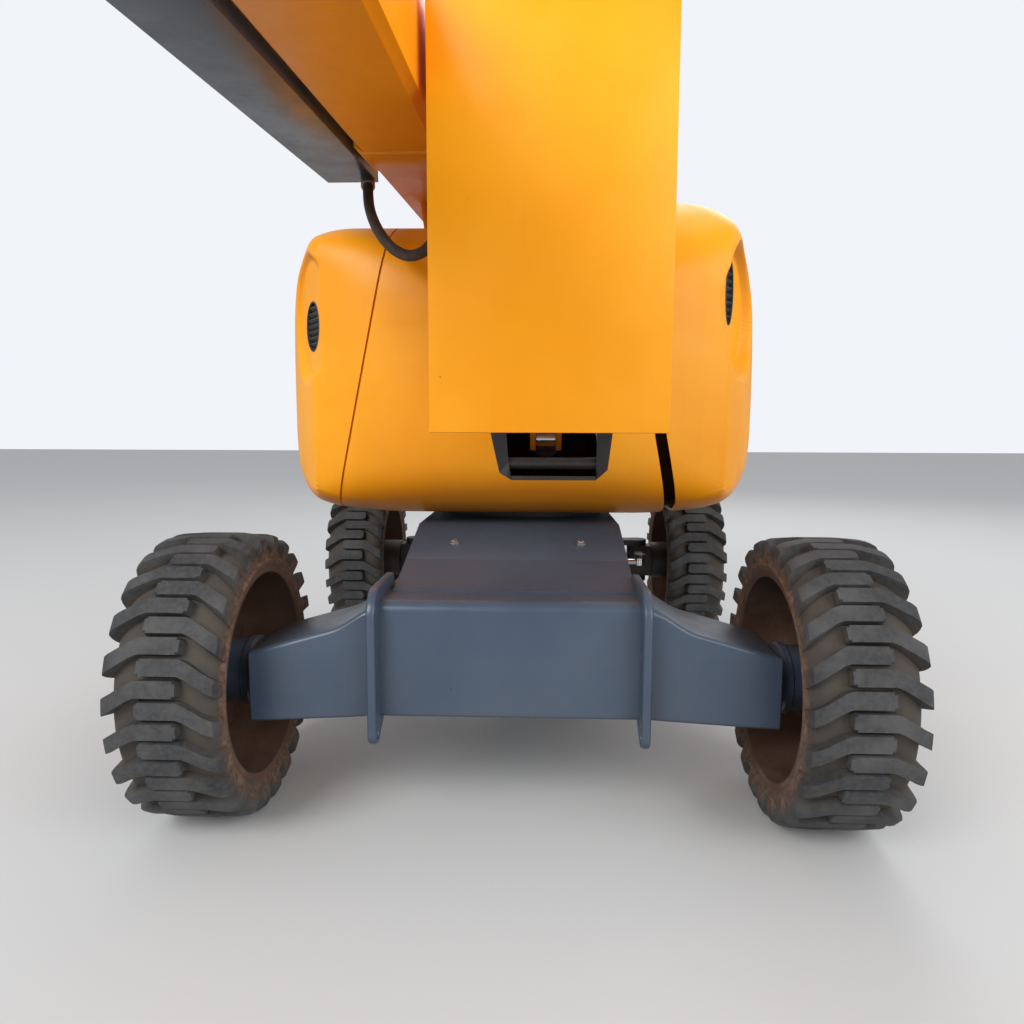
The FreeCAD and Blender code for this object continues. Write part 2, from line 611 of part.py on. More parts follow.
def rear_knuckle():
    """Cranked knuckle: right half round the upper arm, left half round the boom."""
    arm_left, arm_right = link_x(-1)[0] - SIDE_GAP - PLATE, link_x(1)[1] + SIDE_GAP + PLATE
    boom_left = BOOM_X - BOOM_HALF - SIDE_GAP - PLATE
    boom_right = BOOM_X + BOOM_HALF + SIDE_GAP
    arm_plate = [(P4[0] - 130, P4[1] + 90), (P4[0] - 130, P4[1] + 210), (P4[0] + 60, P4[1] + 300),
                 (P5[0] + 130, P5[1] + 60), (P5[0] + 130, P4[1] + 60), (P4[0] + 120, P4[1] - 70),
                 (P4[0] - 60, P4[1] - 90)]
    boom_plate = [(BOOM_BARREL[0] - 70, BOOM_BARREL[1] - 50), (BOOM_BARREL[0] - 70, BOOM_BARREL[1] + 60),
                  (P5[0] - 110, P5[1] + 20), (P5[0] - 60, P5[1] + 110), (P5[0] + 60, P5[1] + 110),
                  (P5[0] + 130, P5[1] + 60), (P5[0] + 130, P4[1] + 60), (BOOM_BARREL[0] + 20, BOOM_BARREL[1] - 60)]
    solids = [prism_x(arm_plate, arm_left, arm_left + PLATE), prism_x(arm_plate, arm_right - PLATE, arm_right)]
    solids += [prism_x(boom_plate, boom_left, boom_left + PLATE),
               prism_x(boom_plate, boom_right, boom_right + PLATE)]
    back0, back1 = P5[0] + 112, P5[0] + 130
    solids.append(box(boom_left, arm_right, back0, back1, P4[1] + 60, P5[1] - BOOM_HIGH))
    solids.append(box(boom_right, arm_right, back0, back1, P4[1] + 60, P5[1] + 60))
    solids.append(box(boom_right + 5, arm_left + 5, P5[0] - 100, P5[0] + 120, P4[1] + 120, P5[1] - 100))
    solids.append(cyl_x(P5, BOOM_PIN_R, boom_left, boom_right + PLATE))
    solids.append(cyl_x(P4, ARM_PIN_R, arm_left, arm_right))
    q4 = plus(P4, UPPER_LINK)
    for x0, x1 in ((arm_left, link_x(-1)[1] + 5), (link_x(1)[0] - 5, arm_right)):
        solids.append(cyl_x(q4, LINK_PIN_R, x0, x1))
    solids.append(cyl_x(BOOM_BARREL, 26, boom_left, boom_right + PLATE))
    return fuse(solids)


# Boom

def boom_tube(half, low, high, wall, rear, front):
    outer = box(BOOM_X - half, BOOM_X + half, front, rear, low, high)
    edges = [e for e in outer.Edges if abs(e.tangentAt(e.FirstParameter).y) > 0.99]
    outer = outer.makeChamfer(22, edges)
    inner = box(BOOM_X - half + wall, BOOM_X + half - wall, front - 1, rear + 1, low + wall, high - wall)
    edges = [e for e in inner.Edges if abs(e.tangentAt(e.FirstParameter).y) > 0.99]
    return outer.cut(inner.makeChamfer(18, edges))


def boom_outer():
    tube = boom_tube(BOOM_HALF, BOOM_LOW, BOOM_HIGH, BOOM_WALL, BOOM_REAR, BOOM_MOUTH)
    band = boom_tube(BOOM_HALF + BAND_PROUD, BOOM_LOW - BAND_PROUD, BOOM_HIGH + BAND_PROUD, BAND_PROUD + 1,
                     BAND_Y[1], BAND_Y[0])
    collar = boom_tube(BOOM_HALF + 10, BOOM_LOW - 10, BOOM_HIGH + 10, 11, BOOM_MOUTH + 90, BOOM_MOUTH)
    hub = cyl_x((0, 0), BOOM_PIN_R + 20, BOOM_X - BOOM_HALF, BOOM_X + BOOM_HALF)
    cap = box(BOOM_X - BOOM_HALF + 2, BOOM_X + BOOM_HALF - 2, BOOM_REAR - 10, BOOM_REAR,
              BOOM_LOW + 2, BOOM_HIGH - 2)
    solids = [tube, band, collar, hub, cap]
    u = math.radians(-BOOM_SLOPE)
    dy, dz = BOOM_ROD[0] - P5[0], BOOM_ROD[1] - P5[1]
    y, z = dy * math.cos(u) - dz * math.sin(u), dy * math.sin(u) + dz * math.cos(u)
    ear = [(y - 130, BOOM_LOW + 4), (y - 40, z - 20), (y - 18, z - 45), (y + 18, z - 45),
           (y + 40, z - 20), (y + 130, BOOM_LOW + 4)]
    solids += [prism_x(ear, BOOM_X + s * 48 - 10, BOOM_X + s * 48 + 10) for s in (-1, 1)]
    shape = fuse(solids)
    bore = cyl_x((0, 0), BOOM_PIN_R + PIN_GAP, BOOM_X - 300, BOOM_X + 300)
    return tilt_boom(cut(shape, [bore]))


def inner_size():
    gap = BOOM_WALL + INNER_CLEAR
    return BOOM_HALF - gap, BOOM_LOW + gap, BOOM_HIGH - gap


def boom_inner():
    half, low, high = inner_size()
    tube = boom_tube(half, low, high, BOOM_WALL, INNER_REAR, INNER_NOSE)
    plate = box(BOOM_X - half + 2, BOOM_X + half - 2, INNER_NOSE, INNER_NOSE + 14, low + 2, high - 2)
    y, z = NOSE_PIN
    ear = [(INNER_NOSE + 60, low + 10), (INNER_NOSE + 60, high - 10), (y, z + 60), (y - 40, z + 45),
           (y - 60, z), (y - 40, z - 45), (y, z - 60)]
    ears = [prism_x(ear, BOOM_X + s * (half - 10) - 10, BOOM_X + s * (half - 10) + 10) for s in (-1, 1)]
    pin = cyl_x(NOSE_PIN, NOSE_PIN_R, BOOM_X - half - 12, BOOM_X + half + 12)
    return tilt_boom(fuse([tube, plate, pin] + ears))


def boom_pads():
    """Wear pads between the two booms, fixed in the outer boom's mouth."""
    half, low, high = inner_size()
    gap = INNER_CLEAR - SEAT_GAP
    pads = []
    for y in (BOOM_MOUTH + 6, BOOM_MOUTH + 900):
        for z0, z1 in ((low - INNER_CLEAR + 0, low - SEAT_GAP), (high + SEAT_GAP, high + INNER_CLEAR)):
            pads.append(box(BOOM_X - 70, BOOM_X + 70, y, y + 80, z0, z1))
        for x0, x1 in ((BOOM_X - half - gap - SEAT_GAP, BOOM_X - half - SEAT_GAP),
                       (BOOM_X + half + SEAT_GAP, BOOM_X + half + gap + SEAT_GAP)):
            pads.append(box(x0, x1, y, y + 80, -40, 100))
    return tilt_boom(Part.makeCompound(pads))


def cable_tray():
    x1 = BOOM_X - BOOM_HALF - TRAY_GAP
    low = BOOM_LOW + TRAY_SETBACK
    outer = box(TRAY_LEFT, x1, TRAY_FRONT, TRAY_REAR, low, low + TRAY_H)
    inner = box(TRAY_LEFT + 4, x1 - 4, TRAY_FRONT - 1, TRAY_REAR + 1, low + 4, low + TRAY_H + 1)
    brackets = [box(x1 - 2, BOOM_X - BOOM_HALF, y, y + 60, low + 50, low + 62)
                for y in (TRAY_REAR - 190, TRAY_REAR - 900, TRAY_REAR - 1600)]
    return tilt_boom(fuse([outer.cut(inner)] + brackets))


def hose_path():
    """Straight runs joined by tangent arcs, each arc as large as its two runs allow."""
    points = [V(*p) for p in HOSE_POINTS]
    edges = []
    start = points[0]
    for before, at, after in zip(points, points[1:], points[2:]):
        back, ahead = before - at, after - at
        shorter = min(back.Length, ahead.Length)
        back.normalize()
        ahead.normalize()
        turn = math.pi - back.getAngle(ahead)
        reach = 0.45 * shorter
        radius = reach / math.tan(turn / 2)
        print("hose turn %.0f deg, radius %.0f" % (math.degrees(turn), radius))
        a, b = at + back * reach, at + ahead * reach
        middle = (back + ahead)
        middle.normalize()
        mid = at + middle * (radius / math.cos(turn / 2) - radius)
        edges.append(Part.LineSegment(start, a).toShape())
        edges.append(Part.Arc(a, mid, b).toShape())
        start = b
    edges.append(Part.LineSegment(start, points[-1]).toShape())
    return edges


def hose_loop():
    edges = hose_path()
    first = edges[0]
    direction = first.tangentAt(first.FirstParameter)
    ring = Part.Wire(Part.makeCircle(HOSE_R, first.valueAt(first.FirstParameter), direction))
    tube = Part.Wire(edges).makePipeShell([ring], True, False)
    length = sum(e.Length for e in edges)
    print("hose length %.0f volume ratio %.4f" % (length, tube.Volume / (math.pi * HOSE_R ** 2 * length)))
    return tube


def hose_clips():
    """Clamp under the boom and saddle at the tray's end, each meeting the hose face to face."""
    (x0, y0, z0), (x1, y1, z1) = HOSE_POINTS[0], HOSE_POINTS[-1]
    a, b = V(*HOSE_POINTS[1]) - V(*HOSE_POINTS[0]), V(*HOSE_POINTS[-2]) - V(*HOSE_POINTS[-1])
    a.normalize()
    b.normalize()
    socket = Part.makeCylinder(HOSE_R + 7, 90, V(x0, y0, z0) - a * 90, a)
    clamp = Part.makeCylinder(HOSE_R + 7, 70, V(x1, y1, z1) - b * 70, b)
    under_tray = tilt_boom(box(TRAY_LEFT, 0, -3000, -1000, -800, BOOM_LOW + TRAY_SETBACK - SEAT_GAP))
    under_band = tilt_boom(box(TRAY_LEFT, 0, -3000, -1000, -800, BOOM_LOW - BAND_PROUD - SEAT_GAP))
    return Part.makeCompound([socket.common(under_tray), clamp.common(under_band)])


# Nose head, jib, platform mount

def nose_pivot():
    return boom_point(*NOSE_PIN)


def jib_pivot():
    return plus(nose_pivot(), J1)


def jib_end():
    a = math.radians(JIB_ANGLE)
    j = jib_pivot()
    return (j[0] - JIB_LENGTH * math.cos(a), j[1] + JIB_LENGTH * math.sin(a))


def rotator_axis():
    return (HEAD_X, jib_end()[0] + ROTATOR_Y)


def jib_link_x():
    return (HEAD_X + JIB_HALF + 8, HEAD_X + JIB_HALF + 8 + 22)


def nose_head():
    """Levelled head: a hub in the boom's ears, a cross tube, and two cheeks in the jib's plane."""
    half = inner_size()[0] - 20 - SIDE_GAP
    n, j = nose_pivot(), jib_pivot()
    t, q, r = plus(j, HEAD_TUBE), plus(j, JIB_LINK), jib_rod_pin()
    inner = JIB_HALF - JIB_BEAM - SIDE_GAP
    solids = [cyl_x(n, NOSE_PIN_R + 26, BOOM_X - half, BOOM_X + half),
              bar_x(n, t, HEAD_TUBE_R + 1, BOOM_X - 60, BOOM_X + half),
              cyl_x(t, HEAD_TUBE_R, BOOM_X - 60, HEAD_X + inner)]
    for x0, x1 in ((HEAD_X - inner, HEAD_X - inner + 14), (HEAD_X + inner - 14, HEAD_X + inner)):
        solids += [bar_x(t, j, 46, x0, x1), bar_x(j, r, 40, x0, x1)]
    solids.append(cyl_x(j, JIB_PIN_R, HEAD_X - JIB_HALF - 4, HEAD_X + JIB_HALF + 4))
    solids += link_post(j, q)
    return cut(fuse(solids), [cyl_x(n, NOSE_PIN_R + PIN_GAP, BOOM_X - 300, BOOM_X + 300)])


def link_post(pin, link_pin):
    """Outboard post that carries the jib link's pin."""
    x0, x1 = jib_link_x()
    out0, out1 = x1 + SIDE_GAP, x1 + SIDE_GAP + 16
    return [bar_x(pin, link_pin, 34, out0, out1), cyl_x(pin, JIB_PIN_R - 8, HEAD_X + JIB_HALF, out1),
            cyl_x(link_pin, JIB_LINK_PIN_R, x0 - 4, out1)]


def jib():
    j, k = jib_pivot(), jib_end()
    u = split_axis(j, k)
    beams = []
    for side in (-1, 1):
        x0 = HEAD_X + side * (JIB_HALF - JIB_BEAM / 2) - JIB_BEAM / 2
        beams.append(bar_x(j, k, JIB_BEAM_H, x0, x0 + JIB_BEAM))
    a = jib_barrel_pin()
    c1 = along(j, u, JIB_BARREL_AT + 150)
    cross = cyl_x(c1, 45, HEAD_X - JIB_HALF + 5, HEAD_X + JIB_HALF - 5)
    barrel_pin = cyl_x(a, 22, HEAD_X - JIB_HALF + 5, HEAD_X + JIB_HALF - 5)
    bores = [cyl_x(j, JIB_PIN_R + PIN_GAP, -600, 400), cyl_x(k, JIB_PIN_R + PIN_GAP, -600, 400)]
    return cut(fuse(beams + [cross, barrel_pin]), bores)


def jib_link():
    j, k = plus(jib_pivot(), JIB_LINK), plus(jib_end(), JIB_LINK)
    x0, x1 = jib_link_x()
    bar = bar_x(j, k, JIB_LINK_HALF, x0, x1)
    return cut(bar, [cyl_x(p, JIB_LINK_PIN_R + PIN_GAP, x0 - 1, x1 + 1) for p in (j, k)])


def basket_mount():
    """Bracket at the jib's end with the vertical rotator."""
    k = jib_end()
    q = plus(k, JIB_LINK)
    inner = JIB_HALF - JIB_BEAM - SIDE_GAP
    rx, ry = rotator_axis()
    z0, z1 = rotator_z()
    solids = []
    for x0, x1 in ((HEAD_X - inner, HEAD_X - inner + 14), (HEAD_X + inner - 14, HEAD_X + inner)):
        solids.append(prism_x([(k[0] + 50, k[1] - 20), (k[0] + 50, k[1] + 30), (ry + 20, z1 - 30),
                               (ry + 20, z0 + 60)], x0, x1))
        solids.append(cyl_x(k, 50, x0, x1))
    solids.append(cyl_x(k, JIB_PIN_R, HEAD_X - JIB_HALF - 4, HEAD_X + JIB_HALF + 4))
    solids += link_post(k, q)
    solids.append(cyl_z(rx, ry, ROTATOR_R, z0, z1))
    shape = fuse(solids)
    return cut(shape, [cyl_z(rx, ry, 30 + PIN_GAP, z0 - 1, z1 + 1)])


def rotator_z():
    k = jib_end()
    return k[1] - 180, k[1] - 180 + ROTATOR_H


def basket_z():
    return jib_end()[1] - FLOOR_DROP


def basket_box():
    rx, ry = rotator_axis()
    y1 = ry + BASKET_BACK
    return rx - BASKET_W / 2, rx + BASKET_W / 2, y1 - BASKET_D, y1


def basket_frame():
    """Tubular guard rails on the floor frame, with the yoke that holds the rotator."""
    x0, x1, y0, y1 = basket_box()
    z = basket_z()
    top = z + RAIL_H - RAIL_R
    r = RAIL_R
    solids = []
    xm = (x0 + x1) / 2
    for height in (top, z + RAIL_H * 0.55):
        corners = [(x0 + r, y0 + r), (x1 - r, y0 + r), (x1 - r, y1 - r), (x0 + r, y1 - r)]
        for i in range(4):
            a, b = corners[i], corners[(i + 1) % 4]
            if i == 3:
                continue
            solids.append(rod((a[0], a[1], height), (b[0], b[1], height), r))
        gate_y = y1 - r - GATE_POST
        for ya, yb in ((y0 + r, gate_y - GATE_W), (gate_y, y1 - r)):
            solids.append(rod((x0 + r, ya, height), (x0 + r, yb, height), r))
        solids += [Part.makeSphere(r, V(cx, cy, height)) for cx, cy in corners]
    posts = [(x0 + r, y0 + r), (x1 - r, y0 + r), (x1 - r, y1 - r), (x0 + r, y1 - r),
             (xm - 320, y0 + r), (xm + 320, y0 + r), (xm - 320, y1 - r), (xm + 320, y1 - r),
             (x1 - r, (y0 + y1) / 2), (x0 + r, gate_y - GATE_W), (x0 + r, gate_y)]
    solids += [rod((px, py, z - 30), (px, py, top), r) for px, py in posts]
    base = box(x0, x1, y0, y1, z - 60, z - 8)
    base = base.cut(box(x0 + 50, x1 - 50, y0 + 50, y1 - 50, z - 61, z - 7))
    joists = [box(xm + dx - 20, xm + dx + 20, y0 + 10, y1 - 10, z - 60, z - 8) for dx in (-420, 0, 420)]
    solids += [base] + joists
    rx, ry = rotator_axis()
    z0, z1 = rotator_z()
    for za, zb in ((z0 - 26, z0 - SEAT_GAP), (z1 + SEAT_GAP, z1 + 26)):
        solids.append(box(rx - 60, rx + 60, y1 - 5, ry, za, zb))
        solids.append(cyl_z(rx, ry, 60, za, zb))
    solids.append(cyl_z(rx, ry, 30, z0 - 20, z1 + 20))
    solids.append(box(rx - 60, rx + 60, y1 - 34, y1 - 4, z - 50, z1 + 26))
    return fuse(solids)


def basket_floor():
    x0, x1, y0, y1 = basket_box()
    z = basket_z()
    r = RAIL_R * 2 + SEAT_GAP
    floor = box(x0 + r, x1 - r, y0 + r, y1 - r, z - 8, z)
    toes = [box(x0 + r, x1 - r, y0 + r, y0 + r + 3, z, z + TOE_H),
            box(x0 + r, x1 - r, y1 - r - 3, y1 - r, z, z + TOE_H),
            box(x1 - r - 3, x1 - r, y0 + r, y1 - r, z, z + TOE_H)]
    return fuse([floor] + toes)


def control_console():
    x0, x1, y0, y1 = basket_box()
    z = basket_z()
    xm = (x0 + x1) / 2
    y = y0 + 2 * RAIL_R + SEAT_GAP
    top = z + RAIL_H
    points = [(y, top - 260), (y, top + 5), (y + 60, top + 20), (y + 210, top - 60), (y + 210, top - 180),
              (y + 120, top - 260)]
    return prism_x(points, xm - 240, xm + 240)


def gate():
    x0, x1, y0, y1 = basket_box()
    z = basket_z()
    x = x0 + RAIL_R
    gate_y = y1 - RAIL_R - GATE_POST
    ya, yb = gate_y - GATE_W + RAIL_R + 8, gate_y - RAIL_R - 3
    top = z + RAIL_H - RAIL_R
    solids = [rod((x, ya, h), (x, yb, h), RAIL_R - 3) for h in (top, z + RAIL_H * 0.55, z + TOE_H + 40)]
    solids += [rod((x, y, z + TOE_H + 30), (x, y, top), RAIL_R - 4) for y in (ya + 18, yb - 18)]
    for h in (z + RAIL_H * 0.25, z + RAIL_H * 0.78):
        solids.append(cyl_z(x, gate_y, RAIL_R + 7, h - 24, h + 24))
        solids.append(box(x - 5, x + 5, yb - 20, gate_y - RAIL_R - 3, h - 20, h + 20))
    return cut(fuse(solids), [cyl_z(x, gate_y, RAIL_R + PIN_GAP, z, top + 50)])


# Body covers

def cover_form(inset, top):
    """Outer form of the body: side, plan and front outlines carried through and intersected."""
    i = inset
    z0 = COVER_FLOOR - (1 if i else 0)
    half = [(0, z0), (900 - i, z0), (965 - i, 1010), (1005 - i, 1090), (1055 - i, 1420), (1060 - i, 1680),
            (1030 - i, 1880), (top_knee(top)[0] - i * 0.6, top_knee(top)[1] - i * 0.6), (760, top - i), (0, top - i)]
    section = half + [(-x, z) for x, z in reversed(half)][1:-1]
    across = prism_y(section, 0, 2600)
    f = FRONT_Y + i
    plan = Part.Wire([
        Part.Arc(V(-820, f + 130, 0), V(0, f, 0), V(820, f + 130, 0)).toShape(),
        Part.Arc(V(820, f + 130, 0), V(1000 - i * 0.7, f + 260, 0), V(1062 - i, f + 520, 0)).toShape(),
        Part.makeLine(V(1062 - i, f + 520, 0), V(1062 - i, 2600, 0)),
        Part.makeLine(V(1062 - i, 2600, 0), V(-1062 + i, 2600, 0)),
        Part.makeLine(V(-1062 + i, 2600, 0), V(-1062 + i, f + 520, 0)),
        Part.Arc(V(-1062 + i, f + 520, 0), V(-1000 + i * 0.7, f + 260, 0), V(-820, f + 130, 0)).toShape()])
    down = Part.Face(plan).extrude(V(0, 0, 2600))
    side = Part.Wire([
        Part.Arc(V(-1200, f + 330, z0), V(-1200, f + 70, 1060 + i * 0.6), V(-1200, f, 1290)).toShape(),
        Part.makeLine(V(-1200, f, 1290), V(-1200, f, 1700)),
        Part.Arc(V(-1200, f, 1700), V(-1200, f + 80, (1700 + top) / 2 + 90 - i * 0.6),
                 V(-1200, f + 330, top - i)).toShape(),
        Part.makeLine(V(-1200, f + 330, top - i), V(-1200, 2600, top - i)),
        Part.makeLine(V(-1200, 2600, top - i), V(-1200, 2600, z0)),
        Part.makeLine(V(-1200, 2600, z0), V(-1200, f + 330, z0))])
    long = Part.Face(side).extrude(V(2400, 0, 0))
    return across.common(down).common(long)


def top_knee(top):
    return 930.0, top - 70.0


def seam_block(line, side, shift):
    """Everything on one side of a slanting seam; side is -1 for the left of it."""
    (xa, za), (xb, zb) = line
    slope = (xb - xa) / (zb - za)
    low_z, high_z = 800.0, 2400.0
    x_low, x_high = xa + slope * (low_z - za) + shift, xa + slope * (high_z - za) + shift
    far = side * 1500.0
    return prism_y([(x_low, low_z), (x_high, high_z), (far, high_z), (far, low_z)], 100, 2500)


def cover_shell(top):
    return cover_form(0, top).cut(cover_form(COVER_WALL, top))


def front_cover():
    shell = cover_shell(LEFT_TOP - 40)
    shell = shell.cut(seam_block(SEAM_LEFT, -1, 0)).cut(seam_block(SEAM_RIGHT, 1, 0))
    shell = shell.common(box(-1100, 1100, 0, 700, 900, 2300))
    xa, xb, za = NOTCH_LOW
    xc, xd, zc = NOTCH_HIGH
    notch = prism_y([(xa, za), (xc, zc), (xc, 2400), (xd, 2400), (xd, zc), (xb, za)], 100, 720)
    shell = shell.cut(notch)
    inside = cover_form(COVER_WALL / 2, LEFT_TOP - 40)
    tabs = [box(x - 4, x + 4, FRONT_Y, TURRET_FRONT_Y + 150, 1150, 1205).common(inside)
            for x in (TURRET_LEFT - SEAT_GAP - 4, TURRET_RIGHT + SEAT_GAP + 4)]
    return fuse([shell] + tabs)


def hood(side):
    if side < 0:
        shell = cover_shell(LEFT_TOP).common(seam_block(SEAM_LEFT, -1, -SEAM_GAP_LEFT))
    else:
        shell = cover_shell(RIGHT_TOP).common(seam_block(SEAM_RIGHT, 1, SEAM_GAP_RIGHT))
    shell = shell.common(box(-1100, 1100, 0, HOOD_BACK_Y, 900, 2300))
    x = side * HINGE_X
    xs = sorted((x, side * 950))
    solids = [shell]
    for z in HINGE_Z:
        leaf = box(xs[0], xs[1], HOOD_BACK_Y - 14, HOOD_BACK_Y, z + SEAT_GAP, z + 60)
        solids.append(leaf.cut(cover_form(COVER_WALL / 2, LEFT_TOP)))
        solids.append(cyl_z(x, HINGE_Y, HINGE_R * 2, z + SEAT_GAP, z + 60))
    return cut(fuse(solids), [cyl_z(x, HINGE_Y, HINGE_R + PIN_GAP, 1000, 2000)])


def counterweight():
    block = cover_form(0, WEIGHT_TOP + 60).common(cyl_z(0, SLEW_Y, TAIL_R, 900, WEIGHT_TOP))
    keep = box(-1100, 1100, HOOD_BACK_Y + 20, 2600, 900, 2300)
    pocket = box(TURRET_LEFT - 10, TURRET_RIGHT + 10, 1800, TURRET_BACK_Y + SEAT_GAP, 900, 2300)
    solids = [block.common(keep).cut(pocket)]
    for side in (-1, 1):
        xs = sorted((side * 900, side * HINGE_X))
        for z in HINGE_Z:
            solids.append(box(xs[0], xs[1], HOOD_BACK_Y + SIDE_GAP, HOOD_BACK_Y + 30, z - 24, z))
            solids.append(cyl_z(side * HINGE_X, HINGE_Y, HINGE_R * 2, z - 24, z))
            solids.append(cyl_z(side * HINGE_X, HINGE_Y, HINGE_R, z - 24, z + 66))
    return fuse(solids)


def engine():
    return box(470, 900, 760, 1450, TURRET_FLOOR + 22 + SEAT_GAP, 1480)


def shift_y():
    """Moves the middle of the stowed length to Y zero."""
    front = basket_box()[2]
    back = max(WHEELBASE + TYRE_R, SLEW_Y + TAIL_R)
    return -(front + back) / 2


def save(name, shape):
    moved = shape.copy()
    moved.translate(V(0, shift_y(), 0))
    bounds = moved.BoundBox
    print("%-18s valid %s solids %d volume %.4f m3  x %.0f..%.0f y %.0f..%.0f z %.0f..%.0f" % (
        name, moved.isValid(), len(moved.Solids), moved.Volume / 1e9, bounds.XMin, bounds.XMax,
        bounds.YMin, bounds.YMax, bounds.ZMin, bounds.ZMax))
    moved.exportStep("parts/%s.step" % name)


def build_nodes():
    nodes = {}
    for end, y in (("front", 0.0), ("rear", WHEELBASE)):
        for name, side in (("left", -1), ("right", 1)):
            nodes["tyre_%s_%s" % (end, name)] = tyre(side, y)
            nodes["rim_%s_%s" % (end, name)] = rim(side, y)
    nodes["chassis_frame"] = chassis_frame()
    nodes["front_axle"] = front_axle()
    nodes["rear_axle"] = rear_axle()
    nodes["slew_ring"] = slew_ring()
    nodes["knuckle_left"] = knuckle(-1)
    nodes["knuckle_right"] = knuckle(1)
    nodes["tie_rod"] = tie_rod()
    nodes["steer_barrel"] = steer_barrel()
    nodes["steer_rod"] = steer_rod()
    nodes["turret_frame"] = turret_frame()
    nodes["front_cover"] = front_cover()
    nodes["hood_left"] = hood(-1)
    nodes["hood_right"] = hood(1)
    nodes["counterweight"] = counterweight()
    nodes["engine"] = engine()
    nodes["lower_arm"] = arm(P1, P2, RISER_ROD)
    nodes["lower_links"] = link_pair(plus(P1, LOWER_LINK), plus(P2, LOWER_LINK))
    nodes["front_knuckle"] = front_knuckle()
    nodes["upper_arm"] = arm(P3, P4)
    nodes["upper_links"] = link_pair(plus(P3, UPPER_LINK), plus(P4, UPPER_LINK))
    nodes["rear_knuckle"] = rear_knuckle()
    nodes["riser_barrel"] = barrel_yz(RISER_BARREL, RISER_ROD, ARM_X, 58, 32, 76, 28, 0.86, 5)
    nodes["riser_rod"] = rod_yz(RISER_BARREL, RISER_ROD, ARM_X, 32, 76, 25, 112)
    nodes["boom_outer"] = boom_outer()
    nodes["boom_inner"] = boom_inner()
    nodes["boom_pads"] = boom_pads()
    nodes["cable_tray"] = cable_tray()
    nodes["hose_loop"] = hose_loop()
    nodes["hose_clips"] = hose_clips()
    nodes["boom_barrel"] = barrel_yz(BOOM_BARREL, BOOM_ROD, BOOM_X, 50, 30, 76, 26, 0.86, 5)
    nodes["boom_rod"] = rod_yz(BOOM_BARREL, BOOM_ROD, BOOM_X, 30, 72, 22, 110)
    nodes["nose_head"] = nose_head()
    nodes["jib"] = jib()
    nodes["jib_link"] = jib_link()
    nodes["jib_barrel"] = barrel_yz(jib_barrel_pin(), jib_rod_pin(), HEAD_X, 32, 20, 56, 22, 0.84, 3)
    nodes["jib_rod"] = rod_yz(jib_barrel_pin(), jib_rod_pin(), HEAD_X, 20, 74, 18, 134)
    nodes["basket_mount"] = basket_mount()
    nodes["basket_frame"] = basket_frame()
    nodes["basket_floor"] = basket_floor()
    nodes["control_console"] = control_console()
    nodes["gate"] = gate()
    return nodes


def main():
    os.makedirs("parts", exist_ok=True)
    for name, shape in build_nodes().items():
        save(name, shape)


main()
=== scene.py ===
import json
import math

import bmesh
import bpy
import numpy as np
from mathutils import Matrix, Vector
from mathutils.bvhtree import BVHTree

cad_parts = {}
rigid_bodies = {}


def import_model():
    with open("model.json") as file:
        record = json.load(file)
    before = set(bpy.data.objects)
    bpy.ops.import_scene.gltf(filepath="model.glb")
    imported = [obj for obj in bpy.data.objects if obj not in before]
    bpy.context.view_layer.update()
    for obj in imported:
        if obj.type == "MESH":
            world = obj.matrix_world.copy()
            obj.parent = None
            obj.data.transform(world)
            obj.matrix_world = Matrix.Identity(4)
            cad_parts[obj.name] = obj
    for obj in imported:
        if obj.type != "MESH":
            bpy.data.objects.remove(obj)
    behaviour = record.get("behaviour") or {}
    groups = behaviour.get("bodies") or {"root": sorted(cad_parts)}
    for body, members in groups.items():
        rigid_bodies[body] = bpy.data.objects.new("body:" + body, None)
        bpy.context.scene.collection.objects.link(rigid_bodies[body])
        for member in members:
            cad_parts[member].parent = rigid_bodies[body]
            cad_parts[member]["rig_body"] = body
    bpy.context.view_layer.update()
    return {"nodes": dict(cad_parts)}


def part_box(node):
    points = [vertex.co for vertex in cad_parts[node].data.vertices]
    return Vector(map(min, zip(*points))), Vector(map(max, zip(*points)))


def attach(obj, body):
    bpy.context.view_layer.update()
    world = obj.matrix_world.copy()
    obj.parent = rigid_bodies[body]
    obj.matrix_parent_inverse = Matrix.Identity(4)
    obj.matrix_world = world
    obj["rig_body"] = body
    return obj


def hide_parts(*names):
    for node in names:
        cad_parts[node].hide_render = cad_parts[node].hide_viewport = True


# Articulating boom lift, in metres. X is the machine's right seen from the basket, Y runs to the
# counterweight, Z is up. Ahead and behind are measured from the fixed axle.
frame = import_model()
nodes = frame["nodes"]
wheelLow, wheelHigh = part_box("tyre_front_left")
axleY = (wheelLow.y + wheelHigh.y) / 2


def at(x, y, z):
    return np.array([x, axleY + y, z])


# Meshes

def meshOf(name, points, faces, smooth=True):
    mesh = bpy.data.meshes.new(name)
    mesh.from_pydata(np.asarray(points, float).tolist(), [], [list(f) for f in faces])
    mesh.update()
    mesh.polygons.foreach_set("use_smooth", [smooth] * len(mesh.polygons))
    return mesh


def gridFaces(rows, columns, closeRows=False, closeColumns=False):
    # quads between neighbours of a rows x columns grid, with its first line joined to its last where closed
    r = np.arange(rows if closeRows else rows - 1)
    c = np.arange(columns if closeColumns else columns - 1)
    r, c = np.meshgrid(r, c, indexing="ij")
    r2, c2 = (r + 1) % rows, (c + 1) % columns
    quads = np.stack([r * columns + c, r * columns + c2, r2 * columns + c2, r2 * columns + c], -1)
    return quads.reshape(-1, 4)


def cappedTube(rings):
    # rings is (count, sides, 3): closed round each ring, with a flat face on both ends
    count, sides = rings.shape[:2]
    faces = gridFaces(count, sides, closeColumns=True).tolist()
    faces.append(list(range(sides))[::-1])
    faces.append([(count - 1) * sides + k for k in range(sides)])
    return rings.reshape(-1, 3), faces


